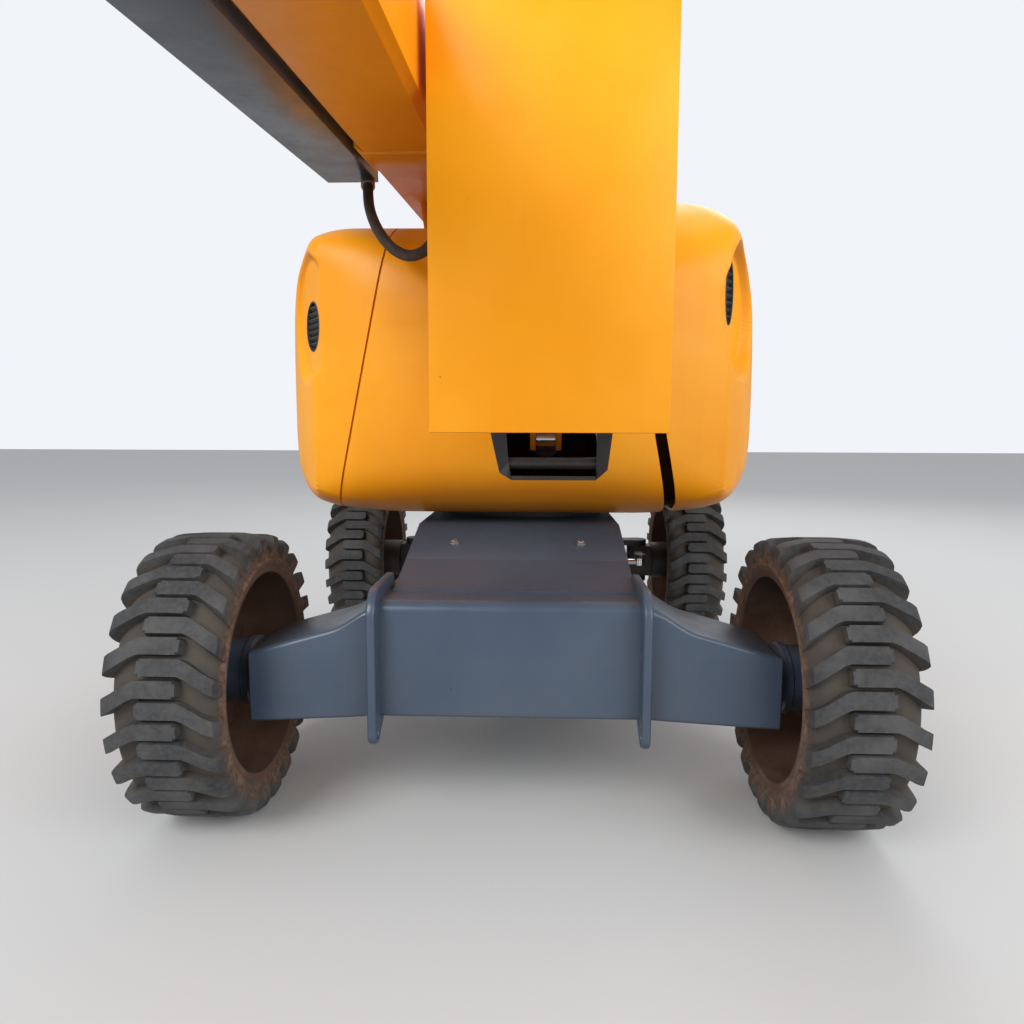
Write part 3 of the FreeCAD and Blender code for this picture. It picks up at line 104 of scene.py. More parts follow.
def linked(name, data):
    # an object with the data, put in the scene
    made = bpy.data.objects.new(name, data)
    bpy.context.scene.collection.objects.link(made)
    return made


def addPiece(name, form, body, material, smoothAngle):
    # a visible piece from a mesh or from a list of (points, faces) pairs
    mesh = joined(name, form) if isinstance(form, list) else form
    piece = linked(name, mesh)
    mesh.materials.append(material)
    setSmooth(mesh, smoothAngle)
    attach(piece, body)
    return piece


def setSmooth(mesh, angle):
    # faces shade smooth, apart from edges sharper than the angle
    if angle >= 180:
        return
    form = bmesh.new()
    form.from_mesh(mesh)
    limit = math.radians(angle)
    for face in form.faces:
        face.smooth = True
    for edge in form.edges:
        edge.smooth = len(edge.link_faces) == 2 and edge.calc_face_angle(0.0) < limit
    form.to_mesh(mesh)
    form.free()


def turnOutwards(mesh):
    form = bmesh.new()
    form.from_mesh(mesh)
    bmesh.ops.recalc_face_normals(form, faces=form.faces)
    form.to_mesh(mesh)
    form.free()


def joined(name, parts):
    # one mesh from several (points, faces) pairs
    points, faces, start = [], [], 0
    for p, f in parts:
        p = np.asarray(p, float).reshape(-1, 3)
        points.append(p)
        faces += [[k + start for k in face] for face in f]
        start += len(p)
    mesh = meshOf(name, np.concatenate(points), faces)
    turnOutwards(mesh)
    return mesh


def block(low, high):
    # a box between two corners
    (x0, y0, z0), (x1, y1, z1) = low, high
    points = [(x, y, z) for x in (x0, x1) for y in (y0, y1) for z in (z0, z1)]
    faces = [(0, 1, 3, 2), (4, 6, 7, 5), (0, 4, 5, 1), (2, 3, 7, 6), (0, 2, 6, 4), (1, 5, 7, 3)]
    return points, faces


def squareTo(axis):
    # two directions square to an axis and to each other
    side = np.cross(axis, [0, 0, 1.0] if abs(axis[2]) < 0.9 else [1.0, 0, 0])
    side = side / np.linalg.norm(side)
    return side, np.cross(axis, side)


def ringAngles(count):
    return np.linspace(0, 2 * math.pi, count, endpoint=False)


def roundBar(a, b, radius, sides):
    # a straight round bar from a to b, its ends chamfered
    a, b = np.asarray(a, float), np.asarray(b, float)
    length = np.linalg.norm(b - a)
    axis = (b - a) / length
    side, up = squareTo(axis)
    turn = ringAngles(sides)
    ring = np.outer(np.cos(turn), side) + np.outer(np.sin(turn), up)
    edge = min(radius * 0.18, length * 0.2)
    steps = [(0, radius - edge), (edge, radius), (length - edge, radius), (length, radius - edge)]
    rings = np.array([a + axis * d + ring * r for d, r in steps])
    return cappedTube(rings)


def hexBolt(base, direction, acrossFlats, height):
    # a hexagon head standing on base; its corners reach 0.577 of the width across flats
    return roundBar(base, np.asarray(base) + np.asarray(direction, float) * height, acrossFlats * 0.577, 6)


def boltRing(centre, axis, radius, count, acrossFlats, height, phase=0.0):
    axis = np.asarray(axis, float)
    side, up = squareTo(axis)
    turns = phase + np.arange(count) * 2 * math.pi / count
    return [hexBolt(np.asarray(centre) + radius * (math.cos(t) * side + math.sin(t) * up), axis,
                    acrossFlats, height) for t in turns]


def lathe(profile, centre, axis, count, closed=True):
    # a profile of (along, radius) pairs turned round an axis through centre
    profile = np.asarray(profile, float)
    turn = ringAngles(count)
    along = np.repeat(profile[:, :1], count, 1)
    c, s = np.outer(profile[:, 1], np.cos(turn)), np.outer(profile[:, 1], np.sin(turn))
    order = {"x": (along, c, s), "z": (c, s, along)}[axis]
    points = np.stack(order, -1) + np.asarray(centre)
    return points.reshape(-1, 3), gridFaces(len(profile), count, closed, True)


def sweep(path, radius, sides):
    # a round tube along a line of points, its frame carried without twist
    path = np.asarray(path, float)
    steps = np.gradient(path, axis=0)
    steps = steps / np.linalg.norm(steps, axis=1)[:, None]
    side = np.cross(steps[0], [0.3, 0.5, 0.81])
    rings = []
    turn = ringAngles(sides)
    for centre, step in zip(path, steps):
        side = side - step * np.dot(side, step)
        side = side / np.linalg.norm(side)
        up = np.cross(step, side)
        rings.append(centre + radius * (np.outer(np.cos(turn), side) + np.outer(np.sin(turn), up)))
    return cappedTube(np.array(rings))


def prism(outline, low, high, axis=0):
    # a closed outline carried from low to high along x (outline of y and z) or, with axis 1, along y (of x and z)
    outline = np.asarray(outline, float)
    rings = np.array([np.insert(outline, axis, end, axis=1) for end in (low, high)])
    return cappedTube(rings)


def applyModifiers(piece):
    depsgraph = bpy.context.evaluated_depsgraph_get()
    depsgraph.update()
    mesh = bpy.data.meshes.new_from_object(piece.evaluated_get(depsgraph))
    piece.modifiers.clear()
    piece.data = mesh


def roundEdges(piece, width, segments, angle, smoothAngle):
    # rounds the edges that are sharper than the angle
    edge = piece.modifiers.new("edges", "BEVEL")
    edge.width, edge.segments = width, segments
    edge.limit_method, edge.angle_limit = "ANGLE", math.radians(angle)
    applyModifiers(piece)
    setSmooth(piece.data, smoothAngle)


def carve(piece, parts, operation="DIFFERENCE"):
    # cuts a piece with a solid of (points, faces) pairs, or keeps only what lies inside it
    tool = linked("tool", joined("tool", parts))
    change = piece.modifiers.new("carve", "BOOLEAN")
    change.operation, change.object, change.solver = operation, tool, "EXACT"
    applyModifiers(piece)
    bpy.data.objects.remove(tool)


def roundedCopy(nodeName, width, material, reshape):
    # a copy of a CAD node with its loose triangles merged, flat faces joined and hard edges rounded off
    source = nodes[nodeName]
    mesh = source.data.copy()
    mesh.materials.clear()
    form = bmesh.new()
    form.from_mesh(mesh)
    bmesh.ops.remove_doubles(form, verts=form.verts, dist=2e-5)
    bmesh.ops.dissolve_limit(form, angle_limit=math.radians(0.6), verts=form.verts, edges=form.edges)
    if reshape:
        for vertex in form.verts:
            vertex.co = reshape(*vertex.co)
    form.to_mesh(mesh)
    form.free()
    mesh.validate()
    piece = addPiece(nodeName + "_finished", mesh, source["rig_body"], material, 180)
    roundEdges(piece, width, 2, 25, 32)
    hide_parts(nodeName)


# Materials

def newMaterial(name):
    made = bpy.data.materials.new(name)
    made.use_nodes = True
    return made, made.node_tree, made.node_tree.nodes["Principled BSDF"]


def feed(tree, node, inputs):
    # links each input to a socket or sets it to a value; a colour is given as three numbers or a socket
    for key, value in inputs.items():
        if isinstance(value, bpy.types.NodeSocket):
            tree.links.new(value, node.inputs[key])
        elif node.inputs[key].type == "RGBA":
            node.inputs[key].default_value = (*value, 1.0)
        else:
            node.inputs[key].default_value = value


def addNode(tree, kind, inputs=None, **settings):
    made = tree.nodes.new("ShaderNode" + kind)
    for key, value in settings.items():
        setattr(made, key, value)
    feed(tree, made, inputs or {})
    return made


def objectPlace(tree):
    return addNode(tree, "TexCoord").outputs["Object"]


def noise(tree, place, scale, detail, rough=0.55):
    inputs = {"Vector": place, "Scale": scale, "Detail": detail, "Roughness": rough}
    return addNode(tree, "TexNoise", inputs).outputs["Fac"]


def stretched(tree, place, scale, turn=(0, 0, 0)):
    return addNode(tree, "Mapping", {"Vector": place, "Scale": scale, "Rotation": turn}).outputs["Vector"]


def ramp(tree, value, low, high, fromValue=0.0, toValue=1.0):
    inputs = {"Value": value, "From Min": low, "From Max": high, "To Min": fromValue, "To Max": toValue}
    return addNode(tree, "MapRange", inputs, interpolation_type="SMOOTHSTEP").outputs["Result"]


def blendColour(tree, share, a, b):
    return addNode(tree, "Mix", {0: share, 6: a, 7: b}, data_type="RGBA").outputs[2]


def maths(tree, kind, a, b=0.0):
    return addNode(tree, "Math", {0: a, 1: b}, operation=kind).outputs["Value"]


def times(tree, a, b):
    return maths(tree, "MULTIPLY", a, b)


def plus(tree, a, b):
    return maths(tree, "ADD", a, b)


def bumpFrom(tree, height, strength, distance, normal=None):
    inputs = {"Height": height, "Strength": strength, "Distance": distance}
    if normal is not None:
        inputs["Normal"] = normal
    return addNode(tree, "Bump", inputs).outputs["Normal"]


def paint(name, look):
    # Paint that has worked outdoors: broad fading, dust on faces that look up, dirt towards the ground,
    # fine scratches, a few chips to the primer, and a slight orange peel. Faces that look down get painted shade.
    made, tree, shader = newMaterial(name)
    place = objectPlace(tree)
    height = addNode(tree, "SeparateXYZ", {"Vector": place}).outputs["Z"]
    normal = addNode(tree, "NewGeometry").outputs["Normal"]
    facing = addNode(tree, "SeparateXYZ", {"Vector": normal}).outputs["Z"]
    broad = noise(tree, place, 1.7, 3)
    colour = blendColour(tree, ramp(tree, broad, 0.35, 0.7), look["colour"], look["faded"])
    streaks = noise(tree, stretched(tree, place, (26, 26, 1.6)), 1.0, 4, 0.6)
    colour = blendColour(tree, ramp(tree, streaks, 0.52, 0.8, 0, look["streaks"]), colour, look["dirt"])
    # painted shade: faces that look down are blended towards the look's shade colour, up to the share under
    under = ramp(tree, facing, 0.15, -0.75, 0, look["under"])
    colour = blendColour(tree, under, colour, look["shade"])
    patches = noise(tree, place, 7.0, 6, 0.65)
    dust = times(tree, ramp(tree, facing, 0.45, 0.95), ramp(tree, patches, 0.35, 0.7, 0.15, look["dust"]))
    colour = blendColour(tree, dust, colour, look["dustColour"])
    low = ramp(tree, height, look["dirtTop"], look["dirtTop"] - 0.7)
    mud = times(tree, low, ramp(tree, noise(tree, place, 4.2, 8, 0.7), 0.44, 0.66, 0, look["mud"]))
    colour = blendColour(tree, mud, colour, look["dirt"])
    chipArea = ramp(tree, noise(tree, place, 3.1, 2), 0.55, 0.62, 0, look["chips"])
    chips = times(tree, ramp(tree, noise(tree, place, 38.0, 3, 0.5), 0.735, 0.75), chipArea)
    colour = blendColour(tree, chips, colour, look["primer"])
    scratch = noise(tree, stretched(tree, place, (6, 60, 240), (0.4, 0.2, 0.7)), 1.0, 2, 0.5)
    colour = blendColour(tree, ramp(tree, scratch, 0.70, 0.76, 0, look["scratches"]), colour, look["faded"])
    gloss = ramp(tree, patches, 0.3, 0.75, look["roughness"] - 0.05, look["roughness"] + 0.12)
    peel = bumpFrom(tree, noise(tree, place, 340.0, 1), 0.05, 0.0008)
    waves = bumpFrom(tree, noise(tree, place, 9.0, 2), 0.08, 0.01, peel)
    relief = bumpFrom(tree, plus(tree, mud, times(tree, chips, -1.0)), 0.35, 0.0015, waves)
    feed(tree, shader, {"Base Color": colour, "Roughness": plus(tree, gloss, times(tree, plus(tree, mud, dust), 0.35)),
                        "Coat Weight": look["coat"], "Coat Roughness": 0.22,
                        "Specular IOR Level": look["specular"], "Normal": relief})
    return made


# in each look, shade and under are the colour and share of the painted shade on faces that look down
orangeLook = {"colour": (0.95, 0.350, 0.0015), "faded": (1.0, 0.415, 0.009), "shade": (0.50, 0.145, 0.004),
              "under": 0.75, "streaks": 0.05, "dirt": (0.42, 0.17, 0.030), "dust": 0.22,
              "dustColour": (0.75, 0.48, 0.20), "dirtTop": 1.45, "mud": 0.16, "chips": 0.6, "specular": 0.22,
              "primer": (0.25, 0.11, 0.03), "scratches": 0.12, "roughness": 0.40, "coat": 0.10}
greyLook = {"colour": (0.042, 0.066, 0.104), "faded": (0.058, 0.084, 0.124), "shade": (0.014, 0.018, 0.026),
            "under": 0.7, "streaks": 0.08, "dirt": (0.100, 0.085, 0.070), "dust": 0.14,
            "dustColour": (0.12, 0.125, 0.135), "dirtTop": 0.95, "mud": 0.14, "chips": 0.25,
            "primer": (0.10, 0.055, 0.030), "scratches": 0.35, "roughness": 0.32, "coat": 0.25, "specular": 0.40}
blackLook = {"colour": (0.022, 0.022, 0.024), "faded": (0.040, 0.040, 0.043), "shade": (0.010, 0.010, 0.011),
             "under": 0.5, "streaks": 0.22, "dirt": (0.115, 0.090, 0.070), "dust": 0.45,
             "dustColour": (0.17, 0.155, 0.14), "dirtTop": 1.0, "mud": 0.60, "chips": 0.5,
             "primer": (0.09, 0.05, 0.028), "scratches": 0.2, "roughness": 0.45, "coat": 0.1, "specular": 0.45}
rustLook = {"colour": (0.085, 0.042, 0.026), "faded": (0.130, 0.072, 0.046), "shade": (0.040, 0.022, 0.015),
            "under": 0.3, "streaks": 0.2, "dirt": (0.190, 0.120, 0.080), "dust": 0.5,
            "dustColour": (0.24, 0.17, 0.12), "dirtTop": 1.0, "mud": 0.75, "chips": 0.5,
            "primer": (0.05, 0.025, 0.015), "scratches": 0.1, "roughness": 0.72, "coat": 0.0, "specular": 0.35}

orangePaint = paint("orange_paint_worn", orangeLook)
greyPaint = paint("blue_grey_paint_worn", greyLook)
blackPaint = paint("black_paint_greasy", blackLook)
rustPaint = paint("rim_under_mud", rustLook)


def tyreRubber():
    # rubber that is worn grey on the lug tops and holds brown mud in the grooves and on the inner walls
    made, tree, shader = newMaterial("tyre_rubber")
    place = objectPlace(tree)
    lug = addNode(tree, "Attribute", attribute_name="lug").outputs["Fac"]
    wall = addNode(tree, "Attribute", attribute_name="muddy_wall").outputs["Fac"]
    fine = noise(tree, place, 60.0, 6, 0.7)
    broad = noise(tree, place, 8.0, 5, 0.6)
    worn = blendColour(tree, ramp(tree, fine, 0.3, 0.75), (0.030, 0.031, 0.033), (0.066, 0.067, 0.068))
    worn = blendColour(tree, ramp(tree, broad, 0.4, 0.7, 0, 0.55), worn, (0.105, 0.103, 0.100))
    groove = times(tree, ramp(tree, lug, 0.75, 0.1), ramp(tree, broad, 0.30, 0.62, 0.35, 0.95))
    colour = blendColour(tree, groove, worn, (0.075, 0.060, 0.047))
    caked = times(tree, wall, ramp(tree, noise(tree, place, 14.0, 7, 0.7), 0.28, 0.55, 0.35, 1.0))
    brown = blendColour(tree, ramp(tree, fine, 0.35, 0.7), (0.085, 0.048, 0.032), (0.190, 0.125, 0.088))
    coarse = bumpFrom(tree, noise(tree, place, 24.0, 8, 0.72), 0.45, 0.004)
    feed(tree, shader, {"Base Color": blendColour(tree, caked, colour, brown), "Specular IOR Level": 0.35,
                        "Roughness": ramp(tree, fine, 0.3, 0.8, 0.68, 0.92),
                        "Normal": bumpFrom(tree, fine, 0.35, 0.0012, coarse)})
    return made


def plainFinish(name, colour, second, roughness, metallic, scale, bump, depth):
    # one mottled finish: two colours, and roughness and relief from the same noise
    made, tree, shader = newMaterial(name)
    mottle = noise(tree, objectPlace(tree), scale, 5, 0.62)
    feed(tree, shader, {"Base Color": blendColour(tree, ramp(tree, mottle, 0.3, 0.72), colour, second),
                        "Roughness": ramp(tree, mottle, 0.25, 0.8, roughness - 0.06, roughness + 0.1),
                        "Metallic": metallic, "Normal": bumpFrom(tree, mottle, bump, depth)})
    return made


def chequerPlate(pitch=0.034):
    # steel floor plate with raised lozenges that lie in two directions by turns
    made, tree, shader = newMaterial("chequer_plate")
    place = objectPlace(tree)
    parts = addNode(tree, "SeparateXYZ", {"Vector": place})
    across, along = parts.outputs["X"], parts.outputs["Y"]
    waves = [maths(tree, "SINE", times(tree, maths(tree, kind, across, along), math.pi / pitch))
             for kind in ("ADD", "SUBTRACT")]
    lozenge = ramp(tree, maths(tree, "ABSOLUTE", times(tree, *waves)), 0.55, 0.75)
    worn = noise(tree, place, 6.0, 5, 0.6)
    base = blendColour(tree, ramp(tree, worn, 0.35, 0.7), (0.20, 0.20, 0.20), (0.34, 0.33, 0.32))
    feed(tree, shader, {"Base Color": blendColour(tree, times(tree, lozenge, 0.5), base, (0.55, 0.55, 0.54)),
                        "Metallic": 0.6, "Roughness": ramp(tree, worn, 0.3, 0.8, 0.38, 0.6),
                        "Normal": bumpFrom(tree, lozenge, 0.9, 0.002)})
    return made


rubber = tyreRubber()
chequer = chequerPlate()
chrome = plainFinish("hard_chrome", (0.72, 0.72, 0.74), (0.80, 0.80, 0.81), 0.13, 1.0, 90, 0.04, 0.0003)
steel = plainFinish("zinc_bolts", (0.30, 0.29, 0.27), (0.42, 0.41, 0.38), 0.42, 0.8, 80, 0.1, 0.0005)
hoseRubber = plainFinish("hose_sleeve", (0.040, 0.028, 0.022), (0.075, 0.055, 0.043), 0.72, 0, 55, 0.4, 0.0012)
darkPlastic = plainFinish("dark_moulding", (0.030, 0.030, 0.032), (0.050, 0.050, 0.053), 0.55, 0, 220, 0.2, 0.0006)
padPlastic = plainFinish("nylon_pad", (0.62, 0.58, 0.48), (0.74, 0.70, 0.60), 0.5, 0, 40, 0.1, 0.0006)
castIron = plainFinish("cast_black", (0.020, 0.019, 0.018), (0.045, 0.040, 0.036), 0.68, 0.1, 35, 0.5, 0.0016)
meshSteel = plainFinish("guard_mesh", (0.055, 0.058, 0.064), (0.090, 0.094, 0.10), 0.45, 0.4, 70, 0.1, 0.0005)
print("materials ready")

# Camera, lights and floor

view = {"lens": 26.05, "place": (0.074, -2.401, 1.277), "down": 6.45, "turn": 1.99, "roll": 0.18}
eye = bpy.data.cameras.new("camera")
eye.lens, eye.sensor_width, eye.clip_end = view["lens"], 36.0, 200.0
camera = linked("camera", eye)
camera.matrix_world = (Matrix.Translation(at(*view["place"]))
                       @ Matrix.Rotation(math.radians(view["turn"]), 4, "Z")
                       @ Matrix.Rotation(math.radians(90 - view["down"]), 4, "X")
                       @ Matrix.Rotation(math.radians(view["roll"]), 4, "Z"))
bpy.context.scene.camera = camera
bpy.context.scene.view_settings.view_transform = "Standard"


def softLight(name, place, target, size, power):
    lamp = bpy.data.lights.new(name, "AREA")
    lamp.shape, lamp.size, lamp.energy = "SQUARE", size, power
    holder = linked(name, lamp)
    aim = (Vector(target) - Vector(place)).to_track_quat("-Z", "Y")
    holder.matrix_world = Matrix.Translation(place) @ aim.to_matrix().to_4x4()


softLight("key", (-6.0, -8.0, 7.5), (0, 0, 1.2), 6.0, 980)
softLight("fill", (7.5, -6.0, 5.0), (0, 0, 1.2), 7.0, 560)
softLight("back", (3.0, 9.0, 8.0), (0, 0, 1.5), 6.0, 320)
world = bpy.data.worlds.new("studio")
world.use_nodes = True
bpy.context.scene.world = world
sky = world.node_tree
background = sky.nodes["Background"]
rays = sky.nodes.new("ShaderNodeLightPath")
# seen straight the room is pale, in mirror paint it is darker, and its diffuse light lies between
mirrored = addNode(sky, "MapRange", {"Value": rays.outputs["Is Glossy Ray"], "To Min": 0.66, "To Max": 0.48})
shown = addNode(sky, "Mix", {0: rays.outputs["Is Camera Ray"], 2: mirrored.outputs["Result"], 3: 0.95})
feed(sky, background, {"Strength": shown.outputs[0], "Color": (0.93, 0.95, 1.0)})

floorMaterial, floorTree, floorShader = newMaterial("pale_floor")
feed(floorTree, floorShader, {"Base Color": (0.62, 0.62, 0.61), "Roughness": 0.85})
floor = linked("floor", meshOf("floor", [(-40, -40, 0), (40, -40, 0), (40, 40, 0), (-40, 40, 0)], [(0, 1, 2, 3)]))
floor.data.materials.append(floorMaterial)

# Hose that hangs from the tray's end to the clamp under the boom; its route is the solid's
hose = {"radius": 0.019, "length": 0.79, "route": (
    (-0.562, 0.440, 2.165), (-0.552, 0.392, 2.100), (-0.525, 0.322, 2.025), (-0.482, 0.248, 1.948),
    (-0.428, 0.200, 1.882), (-0.360, 0.182, 1.850), (-0.292, 0.182, 1.885), (-0.262, 0.185, 1.975),
    (-0.258, 0.190, 2.060), (-0.264, 0.198, 2.128))}
line = bpy.data.curves.new("hanging_hose", "CURVE")
line.dimensions = "3D"
spline = line.splines.new("NURBS")
spline.points.add(len(hose["route"]) - 1)
for point, place in zip(spline.points, hose["route"]):
    point.co = (*at(*place), 1.0)
spline.order_u, spline.resolution_u, spline.use_endpoint_u = 3, 10, True
line.bevel_depth, line.bevel_resolution, line.use_fill_caps = hose["radius"], 5, True
line.materials.append(hoseRubber)
hoseLine = linked("hanging_hose", line)
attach(hoseLine, "boom")
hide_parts("hose_loop")
print("camera, lights, hose")

# Wheels

wheel = {"lugs": 24, "sweep": 0.60, "shoulderWiden": 1.02, "overlap": 0.30, "endCorner": 0.05, "lugEdge": 0.20,
         "lugHalf": 0.24, "shoulder": 0.80,
         # places of the grid lines within one lug's pitch, and those that lie on a right-hand lug
         "steps": (0, .035, .05, .11, .25, .39, .45, .465, .5, .535, .55, .61, .75, .89, .95, .965),
         "onRight": (0, 0, 1, 1, 1, 1, 1, 0, 0, 0, 0, 0, 0, 0, 0, 0),
         # half section from the crown to the bead: share of the way, x and radius in the grooves and on the lugs
         "share": (0, .08, .16, .24, .285, .30, .40, .50, .58, .63, .67, .71, .75, .79, .83, .87, .91, .95, 1.0),
         "grooveX": (0, 16, 32, 48, 57, 60, 79, 100, 117, 129, 139, 147, 152, 153, 159, 163, 160, 154, 143),
         "grooveR": (432, 432, 432, 432, 432, 431, 430, 428, 424, 418, 411, 403, 394, 386, 379, 371, 361, 352,
                     341),
         "lugX": (0, 16, 32, 48, 57, 60, 80, 106, 130, 147, 158, 164, 165, 163, 161, 163, 160, 154, 143),
         "lugR": (463, 463, 463, 462.8, 462.6, 462.5, 461.5, 460, 458.5, 455, 449, 437, 418, 400, 384, 371, 361,
                  352, 341)}


def smoothStep(x, low, high):
    t = np.clip((x - low) / (high - low), 0, 1)
    return t * t * (3 - 2 * t)


def tyreMesh(name, centre, outboard):
    # A surface of two parameters: t runs over the section from bead to bead, the angle round the wheel.
    # Each point lies between the groove section and the lug section by how far it is on a lug.
    # Lug edges follow grid lines, which are swept back from the middle to the shoulders.
    share = np.array(wheel["share"])
    t = np.concatenate([-share[::-1], share[1:]])
    size = np.abs(t)
    sign = np.where(t < 0, -1.0, 1.0)
    step = np.array(wheel["steps"])
    onRight = np.array(wheel["onRight"], float)
    count = wheel["lugs"]
    phase = (np.arange(count)[:, None] + step[None, :]).ravel()

    # the end past the middle has its corners cut, so a lug's edge lines reach less far than its inner lines
    def reach(onLug, middle, side):
        edge = np.abs(np.abs(step - middle) - wheel["lugEdge"]) < 0.001
        far = wheel["overlap"] - 0.001 - wheel["endCorner"] * np.tile(edge, count)
        along = side * t[:, None]
        return np.tile(onLug, count)[None, :] * (along > -far[None, :]) * (along < wheel["shoulder"])

    lug = np.maximum(reach(onRight, 0.25, 1), reach(np.roll(onRight, len(step) // 2), 0.75, -1)).astype(float)
    # lugs widen towards their own shoulder, about the middle of each lug
    widen = 1 + (wheel["shoulderWiden"] - 1) * smoothStep(size, 0.35, 0.75)[:, None]
    middle = np.where(sign > 0, 0.25, 0.75)[:, None]
    local = (np.tile(step, count)[None, :] - middle + 0.5) % 1.0 - 0.5
    half = wheel["lugHalf"]
    between = 0.5 - (0.5 - np.abs(local)) * (0.5 - half * widen) / (0.5 - half)
    shifted = np.where(np.abs(local) < half, local * widen, np.sign(local) * between)
    turns = phase[None, :] - local + shifted - wheel["sweep"] * smoothStep(size, 0.28, 0.85)[:, None]
    angle = turns * 2 * math.pi / count
    gx, gr, lx, lr = (np.interp(size, share, wheel[key])[:, None] for key in ("grooveX", "grooveR", "lugX", "lugR"))
    x = sign[:, None] * (gx + (lx - gx) * lug) / 1000
    r = (gr + (lr - gr) * lug) / 1000
    points = np.stack([centre.x + x, centre.y - r * np.cos(angle), centre.z + r * np.sin(angle)], -1)
    mesh = meshOf(name, points.reshape(-1, 3), gridFaces(len(t), len(phase), True, True))
    turnOutwards(mesh)
    lugValue = mesh.attributes.new("lug", "FLOAT", "POINT")
    lugValue.data.foreach_set("value", lug.ravel().astype(np.float32))
    inner = np.where(sign * outboard < 0, 1.0, 0.3) * smoothStep(size, 0.70, 0.80)
    wallValue = mesh.attributes.new("muddy_wall", "FLOAT", "POINT")
    wallValue.data.foreach_set("value", np.repeat(inner, len(phase)).astype(np.float32))
    return mesh


rimLook = {# rings of bolts: place along the axle, the way they point, circle, count, flats, height, first angle
           "bolts": ((0.061, 1, 0.175, 9, 0.030, 0.020, 0), (0.045, -1, 0.175, 9, 0.026, 0.012, 0),
                     (0.135, 1, 0.082, 8, 0.016, 0.008, 0.2)),
           "section": ((-149, 331), (-154, 343), (-153, 351), (-148, 355), (-142, 352), (-140, 341), (-60, 339),
                       (60, 339), (140, 341), (142, 352), (148, 355), (153, 351), (154, 343), (149, 331), (110, 328),
                       (84, 326), (72, 318), (64, 300), (61, 262), (61, 150), (66, 124), (74, 118), (118, 118),
                       (131, 112), (135, 100), (135, 45.2), (15, 45.2), (15, 118), (24, 124), (43, 134), (45, 150),
                       (45, 262), (48, 292), (56, 314), (66, 327), (20, 329))}

for end in ("front", "rear"):
    for sideName, outboard in (("left", -1), ("right", 1)):
        key = "%s_%s" % (end, sideName)
        low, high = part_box("tyre_" + key)
        middle = (low + high) / 2
        tread = addPiece("tread_" + key, tyreMesh("tread_" + key, middle, outboard), "wheel_" + key, rubber, 34)
        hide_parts("tyre_" + key)
        profile = [(x / 1000 * outboard, r / 1000) for x, r in rimLook["section"]]
        parts = [lathe(profile, middle, "x", 96)]
        for place, way, *sizes in rimLook["bolts"]:
            parts += boltRing(middle + Vector((place * outboard, 0, 0)), (way * outboard, 0, 0), *sizes)
        rimPiece = addPiece("wheel_rim_" + key, parts, "wheel_" + key, rustPaint, 30)
        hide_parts("rim_" + key)
print("wheels")

# Body covers: one smooth form, parted at the seams

body = {"front": 0.300, "back": 1.900, "wall": 0.010, "edgeRound": 0.075, "crease": 0.080, "outlineRound": 0.07,
        "section": ((0.500, 0.935), (0.720, 0.965), (0.865, 1.020), (0.970, 1.110), (1.022, 1.225),
                    (1.036, 1.400), (1.028, 1.560), (0.990, 1.760), (0.935, 1.880), (0.900, 1.955),
                    (0.865, 2.010), (0.820, 2.070)),
        "planFront": ((-0.780, 0.430), (0.0, 0.300), (0.780, 0.430)),
        "planCorner": ((0.780, 0.430), (0.928, 0.690), (1.040, 1.100)),
        "chin": ((0.930, 0.640), (1.045, 0.375), (1.290, 0.300)), "browStart": 1.640,
        "low": {"bend": (0.075, 0.120), "end": 0.350, "knee": 0.815, "flat": 0.690},
        "high": {"bend": (0.130, 0.255), "end": 0.700, "knee": 0.770, "flat": 0.655},
        "seamLeft": ((-0.476, 1.960), (-0.682, 1.015)), "gapLeft": 0.008,
        "seamRight": ((0.470, 1.960), (0.504, 1.250), (0.558, 0.980)), "gapRight": 0.045,
        "leftTop": 2.060, "middleTop": 2.060, "rightTop": 2.220, "floor": 0.930, "coverBack": 0.700,
        "coarse": (30, 300), "fine": (84, 210), "fineFrom": 0.66,
        "notchFront": ((-0.107, 1.290), (-0.068, 1.112), (-0.024, 1.085), (0.288, 1.085), (0.331, 1.124),
                       (0.350, 1.290)),
        "notchRear": ((-0.046, 1.290), (-0.036, 1.150), (-0.026, 1.100), (0.290, 1.100), (0.291, 1.150),
                      (0.292, 1.290)),
        "notchDepth": 0.065, "notchWall": 0.007}
vents = {
    "left": {"middle": (-0.830, 0.490, 1.696), "out": (-0.84, -0.54), "half": (0.170, 0.248), "depth": 0.034,
             "slot": (0.0, -0.030, 0.078, 0.092), "slats": 7},
    "right": {"middle": (0.866, 0.568, 1.730), "out": (0.85, -0.53), "half": (0.190, 0.264), "depth": 0.064,
              "slot": (0.016, 0.080, 0.042, 0.124), "slats": 8}}


def arcThrough(a, b, c, count=60):
    # points of the circle through three points, from a to c by way of b
    (ax, ay), (bx, by), (cx, cy) = a, b, c
    d = 2 * (ax * (by - cy) + bx * (cy - ay) + cx * (ay - by))
    ux = ((ax**2 + ay**2) * (by - cy) + (bx**2 + by**2) * (cy - ay) + (cx**2 + cy**2) * (ay - by)) / d
    uy = ((ax**2 + ay**2) * (cx - bx) + (bx**2 + by**2) * (ax - cx) + (cx**2 + cy**2) * (bx - ax)) / d
    turns = np.unwrap([math.atan2(q[1] - uy, q[0] - ux) for q in (a, b, c)])
    t = np.linspace(turns[0], turns[2], count)
    r = math.hypot(ax - ux, ay - uy)
    return np.column_stack([ux + r * np.cos(t), uy + r * np.sin(t)])


def softMax(a, b, width):
    # the larger of two values, with the change from one to the other rounded over the width
    h = np.clip(0.5 + (a - b) / (2 * width), 0, 1)
    return b + (a - b) * h + width * h * (1 - h)


def browOf(top):
    return body["high"] if top > body["leftTop"] else body["low"]


